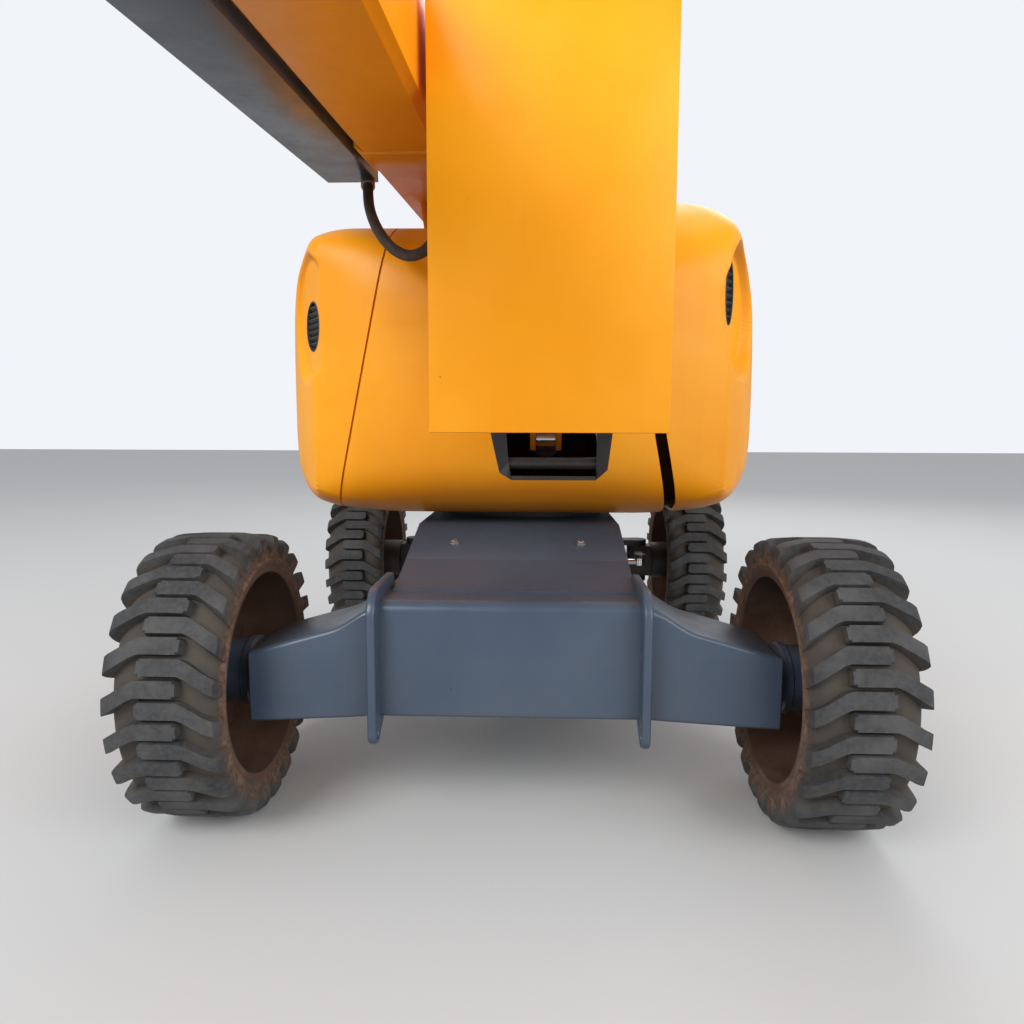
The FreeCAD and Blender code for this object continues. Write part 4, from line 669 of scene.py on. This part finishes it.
def frontAt(x, z, top):
    # how far back the body's front lies: the further back of its plan outline and its side profile
    plan = np.concatenate([arcThrough(*body["planFront"])[30:], arcThrough(*body["planCorner"])[1:]])
    planY = np.interp(np.abs(x), plan[:, 0], plan[:, 1])
    brow, f = browOf(top), body["front"]
    bend = (f + brow["bend"][0], top - brow["bend"][1])
    browArc = arcThrough((f, body["browStart"]), bend, (f + brow["end"], top))
    chinArc = arcThrough(*body["chin"])
    heights = np.concatenate([chinArc[:, 0], browArc[:, 1]])
    depths = np.concatenate([chinArc[:, 1], browArc[:, 0]])
    keep = np.concatenate([[True], np.diff(np.maximum.accumulate(heights)) > 1e-6])
    sideY = np.interp(z, heights[keep], depths[keep])
    return softMax(planY, sideY, body["crease"])


def bodyOutline(top):
    # the body's section across, from the middle of the floor round to the middle of the top and back
    brow = browOf(top)
    half = [(0, body["floor"])] + [p for p in body["section"] if p[1] < top - 0.115]
    half += [(brow["knee"], top - 0.070), (brow["flat"], top), (0, top)]
    return np.array(half + [(-x, h) for x, h in half[::-1]][1:-1])


def anglesRound(focus):
    # angles once round from opposite the focus, closely spaced over 0.4 radian on both sides of it
    coarse, fine = body["coarse"][1], body["fine"][1]
    edges = (focus - math.pi, focus - 0.40, focus + 0.40, focus + math.pi)
    return np.concatenate([np.linspace(low, high, count, endpoint=False)
                           for low, high, count in zip(edges, edges[1:], (coarse // 2, fine, coarse // 2))])


def roundedOutline(points, wanted):
    # corners averaged away over a radius, then sampled at the wanted angles from the middle
    closed = np.concatenate([points, points[:1]])
    lengths = np.linalg.norm(np.diff(closed, axis=0), axis=1)
    along = np.concatenate([[0], np.cumsum(lengths)])
    samples = 4000
    fine = np.linspace(0, along[-1], samples, endpoint=False)
    x, z = np.interp(fine, along, closed[:, 0]), np.interp(fine, along, closed[:, 1])
    half = max(1, int(body["outlineRound"] / along[-1] * samples))
    window = np.hanning(2 * half + 3)
    window = window / window.sum()
    pad = len(window)
    x, z = (np.convolve(np.concatenate([v[-pad:], v, v[:pad]]), window, "same")[pad:-pad] for v in (x, z))
    middle = (points[:, 1].min() + points[:, 1].max()) / 2
    angle = np.arctan2(z - middle, x)
    order = np.argsort(angle)
    reach = np.interp(wanted, angle[order], np.hypot(x, z - middle)[order], period=2 * math.pi)
    return np.column_stack([reach * np.cos(wanted), reach * np.sin(wanted)]), middle


def wallAt(z):
    # the body's half width at a height
    edge, middle = roundedOutline(bodyOutline(body["leftTop"]), np.linspace(-1.4, 1.4, 400))
    return np.interp(z, edge[:, 1] + middle, edge[:, 0])


def bodySurface(top, focus):
    # Rings grow from the middle of the front to the full outline. Each point lies as far back as
    # frontAt says, plus a rounding at the outline; from there the walls run straight back.
    edge, middle = roundedOutline(bodyOutline(top), anglesRound(focus))
    size = np.hypot(edge[:, 0], edge[:, 1])
    start = body["fineFrom"]
    g = np.concatenate([np.linspace(0.001, start, body["coarse"][0], endpoint=False),
                        start + (1 - start) * np.sin(np.linspace(0, math.pi / 2, body["fine"][0]))])
    x = g[:, None] * edge[None, :, 0]
    z = g[:, None] * edge[None, :, 1] + middle
    inside = np.clip(1 - (1 - g)[:, None] * size[None, :] / body["edgeRound"], 0, 1)
    y = frontAt(x, z, top) + body["edgeRound"] * (1 - np.sqrt(1 - inside ** 2))
    steps = np.linspace(0, 1, 34)[1:] ** 1.3
    straight = y[-1][None, :] + (body["back"] - y[-1])[None, :] * steps[:, None]
    x = np.concatenate([x, np.repeat(x[-1:], len(steps), 0)])
    z = np.concatenate([z, np.repeat(z[-1:], len(steps), 0)])
    return np.stack([x, np.concatenate([y, straight]), z], -1)


def ventFrame(vent):
    # directions across, up and out of a vent
    out = np.array([*vent["out"], 0.0])
    out = out / np.linalg.norm(out)
    return np.array([-out[1], out[0], 0.0]), np.array([0, 0, 1.0]), out


def pressVents(surface):
    # points inside an upright oval sink to a flat floor, with a soft wall round it
    for vent in vents.values():
        across, up, out = ventFrame(vent)
        offset = surface - np.array(vent["middle"])
        height = offset @ out
        reach = np.sqrt((offset @ across / vent["half"][0]) ** 2 + (offset @ up / vent["half"][1]) ** 2)
        share = (1 - smoothStep(reach, 0.86, 1.03)) * (height > -vent["depth"] - 0.02) * (np.abs(height) < 0.25)
        sink = np.maximum(height + vent["depth"], 0) * share
        surface = surface - sink[..., None] * out
    return surface


def gridNormals(surface):
    wrapped = np.concatenate([surface[:, -1:], surface, surface[:, :1]], 1)
    acrossRows = np.gradient(surface, axis=0)
    roundRing = (wrapped[:, 2:] - wrapped[:, :-2]) / 2
    normal = np.cross(acrossRows, roundRing)
    return normal / np.maximum(np.linalg.norm(normal, axis=-1, keepdims=True), 1e-12)


def shellPiece(name, top, focus):
    # outer surface and one a wall's thickness inside it, joined along the rear edge, closed at the front's middle
    outer = pressVents(bodySurface(top, focus))
    normal = gridNormals(outer)
    inward = np.array([0.0, body["back"], 0.0]) - outer[0].mean(0)
    if (normal[5] @ inward).mean() < 0:
        normal = -normal
    inner = outer + normal * body["wall"]
    inner[-1, :, 1] = body["back"]
    rows, columns = outer.shape[:2]
    points = np.concatenate([outer.reshape(-1, 3), inner.reshape(-1, 3)])
    faces = gridFaces(rows, columns, closeColumns=True).tolist()
    faces += [[k + rows * columns for k in f[::-1]] for f in faces]
    last = (rows - 1) * columns
    ring = np.arange(columns)
    after = (ring + 1) % columns
    far = rows * columns + last
    faces += np.stack([last + ring, last + after, far + after, far + ring], -1).tolist()
    faces.append(list(range(columns)))
    faces.append([rows * columns + k for k in range(columns)][::-1])
    mesh = meshOf(name, points + at(0, 0, 0), faces)
    turnOutwards(mesh)
    return linked(name, mesh)


def besideSeam(line, side, shift=0.0):
    # everything on one side of a seam, whose ends run on straight
    low, high = 0.8, 2.4
    line = np.array(line)
    first = line[0] + (line[0] - line[1]) * (high - line[0, 1]) / (line[0, 1] - line[1, 1])
    last = line[-1] + (line[-1] - line[-2]) * (low - line[-1, 1]) / (line[-1, 1] - line[-2, 1])
    outline = [(x + shift, z) for x, z in np.concatenate([[first], line, [last]])]
    return prism(outline + [(side * 1.5, low), (side * 1.5, high)], axleY + 0.1, axleY + 2.5, 1)


def finishShell(piece, nodeName, bodyName):
    mesh = piece.data
    mesh.materials.clear()
    mesh.materials.append(orangePaint)
    form = bmesh.new()
    form.from_mesh(mesh)
    bmesh.ops.remove_doubles(form, verts=form.verts, dist=1e-5)
    form.to_mesh(mesh)
    form.free()
    setSmooth(mesh, 30)
    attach(piece, bodyName)
    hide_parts(nodeName)


hoodLeft = shellPiece("hood_left_skin", body["leftTop"], 2.96)
carve(hoodLeft, [besideSeam(body["seamLeft"], -1, -body["gapLeft"])], "INTERSECT")
finishShell(hoodLeft, "hood_left", "hood_left")

hoodRight = shellPiece("hood_right_skin", body["rightTop"], 0.17)
carve(hoodRight, [besideSeam(body["seamRight"], 1, body["gapRight"])], "INTERSECT")
finishShell(hoodRight, "hood_right", "hood_right")

frontSkin = shellPiece("front_skin", body["middleTop"], -math.pi / 2)
notchEdge = [*body["notchFront"], (body["notchFront"][-1][0], 2.4), (body["notchFront"][0][0], 2.4)]
for solid in (besideSeam(body["seamLeft"], -1), besideSeam(body["seamRight"], 1),
              prism(notchEdge, axleY + 0.1, axleY + 0.72, 1),
              block(at(-1.2, body["coverBack"], 0.8), at(1.2, 2.5, 2.5))):
    carve(frontSkin, [solid])
finishShell(frontSkin, "front_cover", "turret")

# flange that closes the left seam from inside
flange = {"half": 0.022, "inset": 0.014, "thick": 0.002, "low": 0.985, "high": 2.012}
heights = np.linspace(flange["low"], flange["high"], 90)
(xTop, zTop), (xBottom, zBottom) = body["seamLeft"]
middleX = xTop + (xBottom - xTop) * (heights - zTop) / (zBottom - zTop)
rings = []
for across, inset in ((-1, 0.0), (1, 0.0), (1, 1.0), (-1, 1.0)):
    x = middleX + across * flange["half"]
    y = frontAt(x, heights, body["middleTop"]) + flange["inset"] + inset * flange["thick"]
    rings.append(np.column_stack([x, y, heights]) + at(0, 0, 0))
addPiece("seam_flange", [cappedTube(np.stack(rings, 1))], "turret", orangePaint, 40)
print("body covers")

# Steel pieces: copies of their solids with every hard edge rounded, and paint

# width of the rounded edges, by paint
finishes = (
    (orangePaint, "orange_paint", {
        "counterweight": 0.012, "lower_arm": 0.004, "lower_links": 0.003, "front_knuckle": 0.004,
        "upper_arm": 0.004, "upper_links": 0.003, "rear_knuckle": 0.004, "boom_outer": 0.005, "boom_inner": 0.005,
        "nose_head": 0.003, "jib": 0.003, "jib_link": 0.002}),
    # the turret frame's slot is orange paint, but it is painted black here: painted shade for the dark zone under the
    # body and in the notch
    (blackPaint, "orange_paint", {"turret_frame": 0.003}),
    (greyPaint, "grey_paint", {"chassis_frame": 0.006, "cable_tray": 0.003, "basket_mount": 0.003,
                               "basket_frame": 0.0015, "gate": 0.0015}),
    (blackPaint, "black_paint", {
        "rear_axle": 0.003, "slew_ring": 0.003, "knuckle_left": 0.003, "knuckle_right": 0.003, "tie_rod": 0.002,
        "riser_barrel": 0.002, "boom_barrel": 0.002, "jib_barrel": 0.0015, "steer_barrel": 0.0015}),
    (castIron, "black_paint", {"engine": 0.006}),
    (darkPlastic, "dark_plastic", {"control_console": 0.004}))
fitting = {"wingTop": 1.02, "wingFrom": 0.44, "inset": 0.016, "engineSide": 0.790,
           "bar": (0.400, 1.165), "barRadius": 0.024, "barDrop": 0.019, "weightWidth": 0.948}


def turretInside(x, y, z):
    # the floor's wings drawn in under the covers, and the cross bar behind the notch lowered
    y -= axleY
    if z < fitting["wingTop"] and abs(x) > fitting["wingFrom"]:
        x = math.copysign(min(abs(x), wallAt(z) - fitting["inset"]), x)
        y = max(y, float(frontAt(x, z, body["middleTop"])) + fitting["inset"])
    elif math.hypot(y - fitting["bar"][0], z - fitting["bar"][1]) < fitting["barRadius"]:
        z -= fitting["barDrop"]
    return x, y + axleY, z


def engineInside(x, y, z):
    return min(x, fitting["engineSide"]), y, z


def counterweightWidth(x, y, z):
    # the counterweight drawn in to the width of the covers in front of it
    return x * fitting["weightWidth"], y, z


reshapes = {"turret_frame": turretInside, "engine": engineInside, "counterweight": counterweightWidth}
for material, slotName, widths in finishes:
    for nodeName, width in widths.items():
        roundedCopy(nodeName, width, material, reshapes.get(nodeName))

keptNodes = {"riser_rod": chrome, "boom_rod": chrome, "jib_rod": chrome, "steer_rod": chrome,
             "boom_pads": padPlastic, "hose_clips": steel, "basket_floor": chequer}
for nodeName, material in keptNodes.items():
    node = nodes[nodeName]
    if not node.material_slots:
        node.data.materials.append(material)
    for materialSlot in node.material_slots:
        materialSlot.material = material
print("steel pieces")

# Fittings of the body covers

def placed(points, vent):
    # points given across, up and out of a vent, put on the body
    across, up, out = ventFrame(vent)
    p = np.asarray(points, float)
    middle = np.array(vent["middle"])
    return middle + p[:, :1] * across + p[:, 1:2] * up + p[:, 2:3] * out + at(0, 0, 0)


def ovalRing(vent, out, grow=0.0):
    # the slot's oval, at a height out of the vent's floor and grown all round
    u, v, wide, high = vent["slot"]
    turn = ringAngles(48)
    oval = [u + (wide + grow) * np.cos(turn), v + (high + grow) * np.sin(turn), np.full(48, out - vent["depth"])]
    return placed(np.column_stack(oval), vent)


def sideBlock(side, low, high):
    # a box whose x is measured outwards from the middle, on the right (1) or on the left (-1)
    x0, x1 = sorted((side * low[0], side * high[0]))
    return block(at(x0, *low[1:]), at(x1, *high[1:]))


slat = {"half": 0.0025, "reach": 0.011, "tilt": math.radians(38), "sunk": 0.010, "longer": 0.002,
        # the ring round the slot: how far it is grown, and its height over the vent's floor
        "ring": ((-0.002, 0.001), (0.001, 0.003), (0.004, 0.001), (0.004, -0.022), (-0.002, -0.022))}
louvres = {"left": (1.380, 1.720, 1.300, 1.480, 5), "right": (1.180, 1.720, 1.280, 1.640, 9), "gap": 0.022,
           "lip": 0.016, "inside": 0.82, "screen": (1.006, 1.012), "margin": 0.03,
           # along a lip: from which end, how far in, and the share of its full size
           "taper": ((0, -0.012, 0.05), (0, 0.004, 0.8), (0, 0.03, 1.0), (1, -0.03, 1.0), (1, -0.004, 0.8),
                     (1, 0.012, 0.05))}
hinge = {"x": 1.084, "y": 1.912, "radius": 0.018, "bore": 0.0091, "heights": (1.160, 1.560),
         "leaf": (1.886, 1.900), "foot": 0.070, "footHalf": 0.006, "bolts": ((0.018, 0.050), (0.016, 0.044))}
paddle = {"y": (1.550, 1.670), "z": (1.225, 1.275), "proud": 0.006, "sunk": 0.010}

for sideName, side, hood in (("left", -1, hoodLeft), ("right", 1, hoodRight)):
    hoodName = "hood_" + sideName
    vent = vents[sideName]
    u, v, slotWide, slotHigh = vent["slot"]
    y0, y1, z0, z1, count = louvres[sideName]
    pitch = (z1 - z0) / count
    cutters = [cappedTube(np.array([ovalRing(vent, -0.05), ovalRing(vent, 0.02)]))]
    cutters += [sideBlock(side, (0.9, y0, z0 + k * pitch), (1.2, y1, z0 + k * pitch + louvres["gap"]))
                for k in range(count)]
    carve(hood, cutters)
    setSmooth(hood.data, 30)

    # slats across the vent's slot, tilted, in a dark ring with a plate behind; the plate's dark colour is painted
    # shade for the hollow behind the vent
    parts = []
    step = 2 * slotHigh / (vent["slats"] + 1)
    tiltUp, tiltOut = math.cos(slat["tilt"]), math.sin(slat["tilt"])
    for k in range(vent["slats"]):
        rise = -slotHigh + step * (k + 1)
        reach = slotWide * math.sqrt(1 - (rise / slotHigh) ** 2) + slat["longer"]
        corners, faces = block((u - reach, -slat["half"], -slat["reach"]), (u + reach, slat["half"], slat["reach"]))
        across, up, out = np.transpose(corners)
        turned = [across, up * tiltUp + out * tiltOut + v + rise,
                  out * tiltUp - up * tiltOut - vent["depth"] - slat["sunk"]]
        parts.append((placed(np.column_stack(turned), vent), faces))
    ring = np.array([ovalRing(vent, out, grow) for grow, out in slat["ring"]])
    parts.append((ring.reshape(-1, 3), gridFaces(*ring.shape[:2], True, True)))
    # plate behind the slot: its dark colour is painted shade for the hollow behind the vent
    parts.append(cappedTube(np.array([ovalRing(vent, -0.024), ovalRing(vent, -0.022)])))
    addPiece("vent_grille_" + sideName, parts, hoodName, darkPlastic, 30)

    # hooded lips over the louvres and a dark screen behind them
    parts = []
    t = np.linspace(0, math.pi / 2, 6)
    arc = np.column_stack([np.sin(t), np.cos(t) * 0.9]) * louvres["lip"]
    for k in range(count):
        top = z0 + k * pitch + louvres["gap"]
        wallX = wallAt(top)
        rows = []
        for end, along, scale in louvres["taper"]:
            y = np.full(6, (y0, y1)[end] + along)
            low = top - louvres["lip"] * scale
            within = arc[::-1] * scale * louvres["inside"]
            outer = np.column_stack([side * (wallX + arc[:, 0] * scale), y, low + arc[:, 1] * scale + 0.002])
            inner = np.column_stack([side * (wallX + within[:, 0] - 0.0035), y, low + within[:, 1]])
            rows.append(np.concatenate([outer, inner]) + at(0, 0, 0))
        parts.append(cappedTube(np.array(rows)))
    addPiece("louvre_lips_" + sideName, parts, hoodName, orangePaint, 50)
    margin, (x0, x1) = louvres["margin"], louvres["screen"]
    screen = sideBlock(side, (x0, y0 - margin, z0 - margin), (x1, y1 + margin, z1 + 0.01))
    addPiece("louvre_screen_" + sideName, [screen], hoodName, meshSteel, 30)

    # hinge leaves and sleeves at the rear edge
    parts = []
    leafFront, leafBack = hinge["leaf"]
    bore, radius, footHalf = hinge["bore"], hinge["radius"], hinge["footHalf"]
    for z in hinge["heights"]:
        sleeve = ((0.0003, bore), (0.0003, radius - 0.001), (0.0013, radius), (0.059, radius),
                  (0.060, radius - 0.001), (0.060, bore))
        parts.append(lathe([(z + h, r) for h, r in sleeve], at(side * hinge["x"], hinge["y"], 0), "z", 32))
        wallX = wallAt(z)
        low, high = z + 0.001, z + 0.059
        parts.append(sideBlock(side, (wallX - 0.012, leafFront, low), (hinge["x"], leafBack, high)))
        parts.append(sideBlock(side, (wallX - footHalf, leafFront - hinge["foot"], low),
                               (wallX + footHalf, leafBack, high)))
        parts += [hexBolt(at(side * (wallX + footHalf), leafFront - back, z + h), (side, 0, 0), 0.009, 0.005)
                  for back in hinge["bolts"][0] for h in hinge["bolts"][1]]
    addPiece("hood_hinges_" + sideName, parts, hoodName, orangePaint, 35)

    # flush paddle latch low on the side
    wallX = wallAt(sum(paddle["z"]) / 2)
    (y0, y1), (z0, z1) = paddle["y"], paddle["z"]
    plate = sideBlock(side, (wallX - paddle["sunk"], y0, z0), (wallX + paddle["proud"], y1, z1))
    latch = addPiece("hood_latch_" + sideName, [plate], hoodName, castIron, 35)
    roundEdges(latch, 0.004, 3, 35, 40)


# walls of the notch: from the body's front in to its own back, closing in as they go; they are painted black as
# painted shade inside the notch
def notchSurface(offset):
    # rows run down one side of the notch, across and up the other; columns go from the front to the back
    fronts, rears = np.array(body["notchFront"]), np.array(body["notchRear"])
    steps = np.linalg.norm(np.diff(fronts, axis=0), axis=1)
    lengths = np.concatenate([[0], np.cumsum(steps)])
    s = np.unique(np.round(np.concatenate([np.linspace(0, lengths[-1], 70), lengths]), 6))
    front = np.column_stack([np.interp(s, lengths, fronts[:, k]) for k in (0, 1)])
    rear = np.column_stack([np.interp(s, lengths, rears[:, k]) for k in (0, 1)])
    run = np.gradient(front, axis=0)
    outward = np.column_stack([run[:, 1], -run[:, 0]]) / np.linalg.norm(run, axis=1)[:, None]
    front, rear = front + outward * offset, rear + outward * offset
    depth = np.linspace(0, 1, 12)
    start = frontAt(front[:, 0], front[:, 1], body["middleTop"]) + 0.0008
    back = body["front"] + body["notchDepth"]
    y = start[:, None] + (back - start)[:, None] * depth[None, :]
    across = front[:, None, :] + (rear - front)[:, None, :] * depth[None, :, None]
    return np.stack([across[..., 0], y, across[..., 1]], -1) + at(0, 0, 0)


outer, inner = notchSurface(body["notchWall"]), notchSurface(0.0)
rows, columns = outer.shape[:2]
sheet = np.concatenate([inner, outer[:, ::-1]], 1)
wallFaces = gridFaces(rows, 2 * columns, closeColumns=True).tolist()
wallFaces.append(list(range(2 * columns)))
wallFaces.append([(rows - 1) * 2 * columns + k for k in range(2 * columns)])
# black paint on the notch walls is painted shade for the dark hollow of the notch
addPiece("notch_walls_painted_shade", [(sheet.reshape(-1, 3), wallFaces)], "turret", blackPaint, 40)
print("cover fittings")

# Front axle: a box beam with bent edges, its sloping plate, two lashing plates and the wheel motors

axle = {"front": -0.200, "back": 0.190, "armBack": 0.130, "end": 0.822, "bend": 0.036, "armBend": 0.016,
        "edge": 0.011, "top": ((0, 0.750), (0.410, 0.750), (0.540, 0.665), (0.822, 0.585)),
        "bottom": ((0, 0.385), (0.410, 0.385), (0.822, 0.360)), "armStart": 0.43, "knee": 0.022, "height": 0.463,
        # the wheel motor: pairs of x and radius, and its ring of bolts: x, circle, count, flats, height, first angle
        "motor": ((0.782, 0.0005), (0.782, 0.100), (0.790, 0.108), (0.858, 0.108), (0.866, 0.116), (0.884, 0.116),
                  (0.890, 0.108), (0.9985, 0.104), (0.9985, 0.045), (1.112, 0.045), (1.115, 0.042),
                  (1.115, 0.0005)),
        "motorBolts": (0.866, 0.104, 12, 0.013, 0.007, 0.1)}
lash = {"x": (-0.424, 0.404), "half": 0.014, "front": -0.262, "back": 0.060, "top": 0.792, "topRound": 0.090,
        "foot": 0.034, "holeHeight": 0.345, "hole": 0.018, "edge": 0.009, "heel": ((-0.120, 0.372), (0.060, 0.384))}
slopePlate = {"front": -0.055, "half": 0.394, "thick": 0.005, "low": 0.750, "high": 0.8111, "foldY": -0.030,
              "backY": 0.190, "slope": math.atan2(0.150, 0.540), "bolts": ((-0.235, 0.330), (0.235, 0.330))}


def beamRing(x):
    # a rounded section of the beam; its top falls away along the arms, softly at the knee
    spread = abs(x) + np.linspace(-axle["knee"], axle["knee"], 9)
    arm = abs(x) > axle["armStart"]
    top = np.interp(spread, *np.transpose(axle["top"])).mean() if arm else axle["top"][0][1]
    bottom = np.interp(abs(x), *np.transpose(axle["bottom"]))
    onArm = smoothStep(abs(x), 0.415, 0.47)
    back = axle["back"] + (axle["armBack"] - axle["back"]) * onArm
    shrink = 0.005 * (abs(x) > axle["end"] - 0.001)
    y0, y1, z0, z1 = axle["front"] + shrink, back - shrink, bottom + shrink, top - shrink
    bend = axle["bend"] + (axle["armBend"] - axle["bend"]) * onArm
    ring = []
    for cy, cz, r, start in ((y0, z1, bend, math.pi), (y1, z1, axle["edge"], math.pi / 2),
                             (y1, z0, axle["edge"], 0.0), (y0, z0, axle["edge"], -math.pi / 2)):
        t = start - np.linspace(0, math.pi / 2, 7)
        oy = cy + r if cy == y0 else cy - r
        oz = cz - r if cz == z1 else cz + r
        ring.append(np.column_stack([np.full(7, x), oy + r * np.cos(t), oz + r * np.sin(t)]))
    return np.concatenate(ring) + at(0, 0, 0)


stations = np.concatenate([[-axle["end"], -axle["end"] + 0.005], np.linspace(-0.80, 0.80, 97),
                           [axle["end"] - 0.005, axle["end"]]])
parts = [cappedTube(np.array([beamRing(x) for x in stations]))]
plateFront, foldY, backY = (axleY + slopePlate[key] for key in ("front", "foldY", "backY"))
low, top, high = slopePlate["low"], slopePlate["low"] + slopePlate["thick"], slopePlate["high"]
parts.append(prism([(plateFront, low - 0.001), (plateFront, top - 0.001), (plateFront + 0.001, top), (foldY, top),
                    (backY, high + 0.0015), (backY, low - 0.001)], -slopePlate["half"], slopePlate["half"]))
boltX, *boltSizes = axle["motorBolts"]
for side in (-1, 1):
    motor = [(side * x, r) for x, r in axle["motor"]]
    parts.append(lathe(motor, at(0, 0, axle["height"]), "x", 64, False))
    parts += boltRing(at(side * boltX, 0, axle["height"]), (-side, 0, 0), *boltSizes)
beam = addPiece("axle_front", parts, "chassis", greyPaint, 40)
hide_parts("front_axle")

foot = np.linspace(math.pi, 1.72 * math.pi, 12)
crown = np.linspace(math.pi / 2, math.pi, 14)
f, r, big = lash["front"], lash["foot"], lash["topRound"]
outline = list(zip(f + r + r * np.cos(foot), lash["holeHeight"] + r * np.sin(foot)))
outline += [*lash["heel"], (lash["back"], lash["top"])]
outline += list(zip(f + big + big * np.cos(crown), lash["top"] - big + big * np.sin(crown)))
outline = [(y + axleY, z) for y, z in outline]
for x, sideName in zip(lash["x"], ("left", "right")):
    solid = prism(outline, x - lash["half"], x + lash["half"])
    plate = addPiece("lash_plate_" + sideName, [solid], "chassis", greyPaint, 180)
    hole = at(x - 0.05, f + r, lash["holeHeight"])
    carve(plate, [roundBar(hole, hole + np.array([0.10, 0, 0]), lash["hole"], 40)])
    roundEdges(plate, lash["edge"], 4, 50, 50)

# flat bolt heads on the sloping plate
parts = []
slope = slopePlate["slope"]
for x, y in slopePlate["bolts"]:
    base = at(x, y, slopePlate["low"] + (y - slopePlate["foldY"]) * math.tan(slope))
    lift = np.array([0, -math.sin(slope), math.cos(slope)])
    parts.append(roundBar(base, base + lift * 0.005, 0.020, 28))
    parts.append(hexBolt(base + lift * 0.005, lift, 0.022, 0.008))
addPiece("ramp_bolts", parts, "chassis", steel, 35)
print("front axle")

# Pin keepers: a flat bar with two bolts over each pin's end, found by a ray along the pin

# pins by the node that carries them: y, z and radius
pins = {"turret_frame": ((1.850, 1.330, 0.036), (1.910, 1.482, 0.024)),
        "front_knuckle": ((-0.200, 1.480, 0.036), (-0.140, 1.632, 0.024), (-0.200, 1.985, 0.036),
                          (-0.260, 2.137, 0.024)),
        "rear_knuckle": ((1.850, 2.085, 0.036), (1.790, 2.237, 0.024), (2.200, 2.480, 0.040)),
        "boom_inner": ((-2.0385, 2.0518, 0.030),),
        "nose_head": ((-2.2085, 1.9018, 0.026), (-2.2085, 2.0518, 0.015)),
        "basket_mount": ((-3.0924, 1.0179, 0.026), (-3.0924, 1.1679, 0.015))}
# sizes as shares of the pin's radius, and heights over the cheek in metres
keeper = {"cap": 0.93, "length": 1.75, "half": 0.34, "boltAt": 1.35, "bolt": 0.36, "leastBolt": 0.008,
          "bar": (0.004, 0.010), "spacer": (-0.002, 0.005)}
# cheeks beside the jib and its link have no room for keepers
tuckedIn = (-0.290, -0.010)
for nodeName, places in pins.items():
    solid = nodes[nodeName]
    surface = BVHTree.FromPolygons([solid.matrix_world @ v.co for v in solid.data.vertices],
                                   [tuple(p.vertices) for p in solid.data.polygons])
    parts = []
    for y, z, radius in places:
        for side in (-1, 1):
            hit = surface.ray_cast(Vector(at(side * 2.0, y, z)), Vector((-side, 0, 0)))[0]
            if hit is None or tuckedIn[0] < hit.x < tuckedIn[1]:
                continue
            face = np.array([hit.x, axleY + y, z])
            out = np.array([float(side), 0, 0])
            under, over = (face + out * height for height in keeper["spacer"])
            parts.append(roundBar(under, over, radius * keeper["cap"], 40))
            x0, x1 = sorted(face[0] + side * height for height in keeper["bar"])
            y0, z0 = radius * keeper["length"], radius * keeper["half"]
            parts.append(block((x0, face[1] - y0, z - z0), (x1, face[1] + y0, z + z0)))
            bolt = max(keeper["leastBolt"], radius * keeper["bolt"])
            for back in (-1, 1):
                aside = np.array([0, back * radius * keeper["boltAt"], 0])
                parts.append(hexBolt(face + out * keeper["bar"][1] + aside, out, bolt, 0.007))
                parts.append(roundBar(under + aside, over + aside, bolt * 0.75, 16))
    addPiece("pin_keepers_" + nodeName, parts, solid["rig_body"], steel, 35)
print("pin keepers")

# Cable carrier and hoses that lie in the tray beside the boom

tray = {"slope": math.radians(5.5), "pivot": (2.200, 2.480), "rear": -1.760, "front": -3.600, "floor": -0.110,
        "x": -0.655, "half": 0.046, "height": 0.050, "pitch": 0.052, "lap": 0.56, "wall": 0.006, "step": 0.003,
        # the two runs of links: height, start along the boom, links fewer than the tray holds
        "runs": ((0.0, 0.0, 0), (0.056, 0.20, 6)), "hoses": ((-0.024, 0.011), (0.002, 0.013), (0.027, 0.009))}


def boomPoint(x, s, h):
    # s runs along the boom, forwards negative, and h square to it
    c, k = math.cos(tray["slope"]), math.sin(tray["slope"])
    return at(x, tray["pivot"][0] + s * c - h * k, tray["pivot"][1] + s * k + h * c)


def boomBlock(x0, x1, s0, s1, h0, h1):
    points, faces = block((x0, s0, h0), (x1, s1, h1))
    return [boomPoint(*p) for p in points], faces


parts = []
count = int((tray["rear"] - tray["front"]) / tray["pitch"])
reach = tray["pitch"] * tray["lap"]
for level, start, fewer in tray["runs"]:
    low, high = tray["floor"] + level, tray["floor"] + level + tray["height"]
    for k in range(count - fewer):
        s = tray["rear"] - start - (k + 0.5) * tray["pitch"]
        face = tray["half"] - tray["step"] * (k % 2)
        for side in (-1, 1):
            x0, x1 = sorted(tray["x"] + side * edge for edge in (face - tray["wall"], face))
            parts.append(boomBlock(x0, x1, s - reach, s + reach, low, high))
        x0, x1 = tray["x"] - tray["half"], tray["x"] + tray["half"]
        parts.append(boomBlock(x0, x1, s - 0.008, s + 0.008, high - 0.007, high))
addPiece("cable_carrier", parts, "boom", darkPlastic, 30)
parts = []
for offset, radius in tray["hoses"]:
    s = np.linspace(tray["rear"] + 0.03, tray["front"] + 0.02, 40)
    lie = tray["floor"] + 0.022 + 0.002 * np.sin(3 * s + offset * 90)
    parts.append(sweep([boomPoint(tray["x"] + offset, *p) for p in zip(s, lie)], radius, 12))
addPiece("tray_hoses", parts, "boom", hoseRubber, 60)
print("tray")
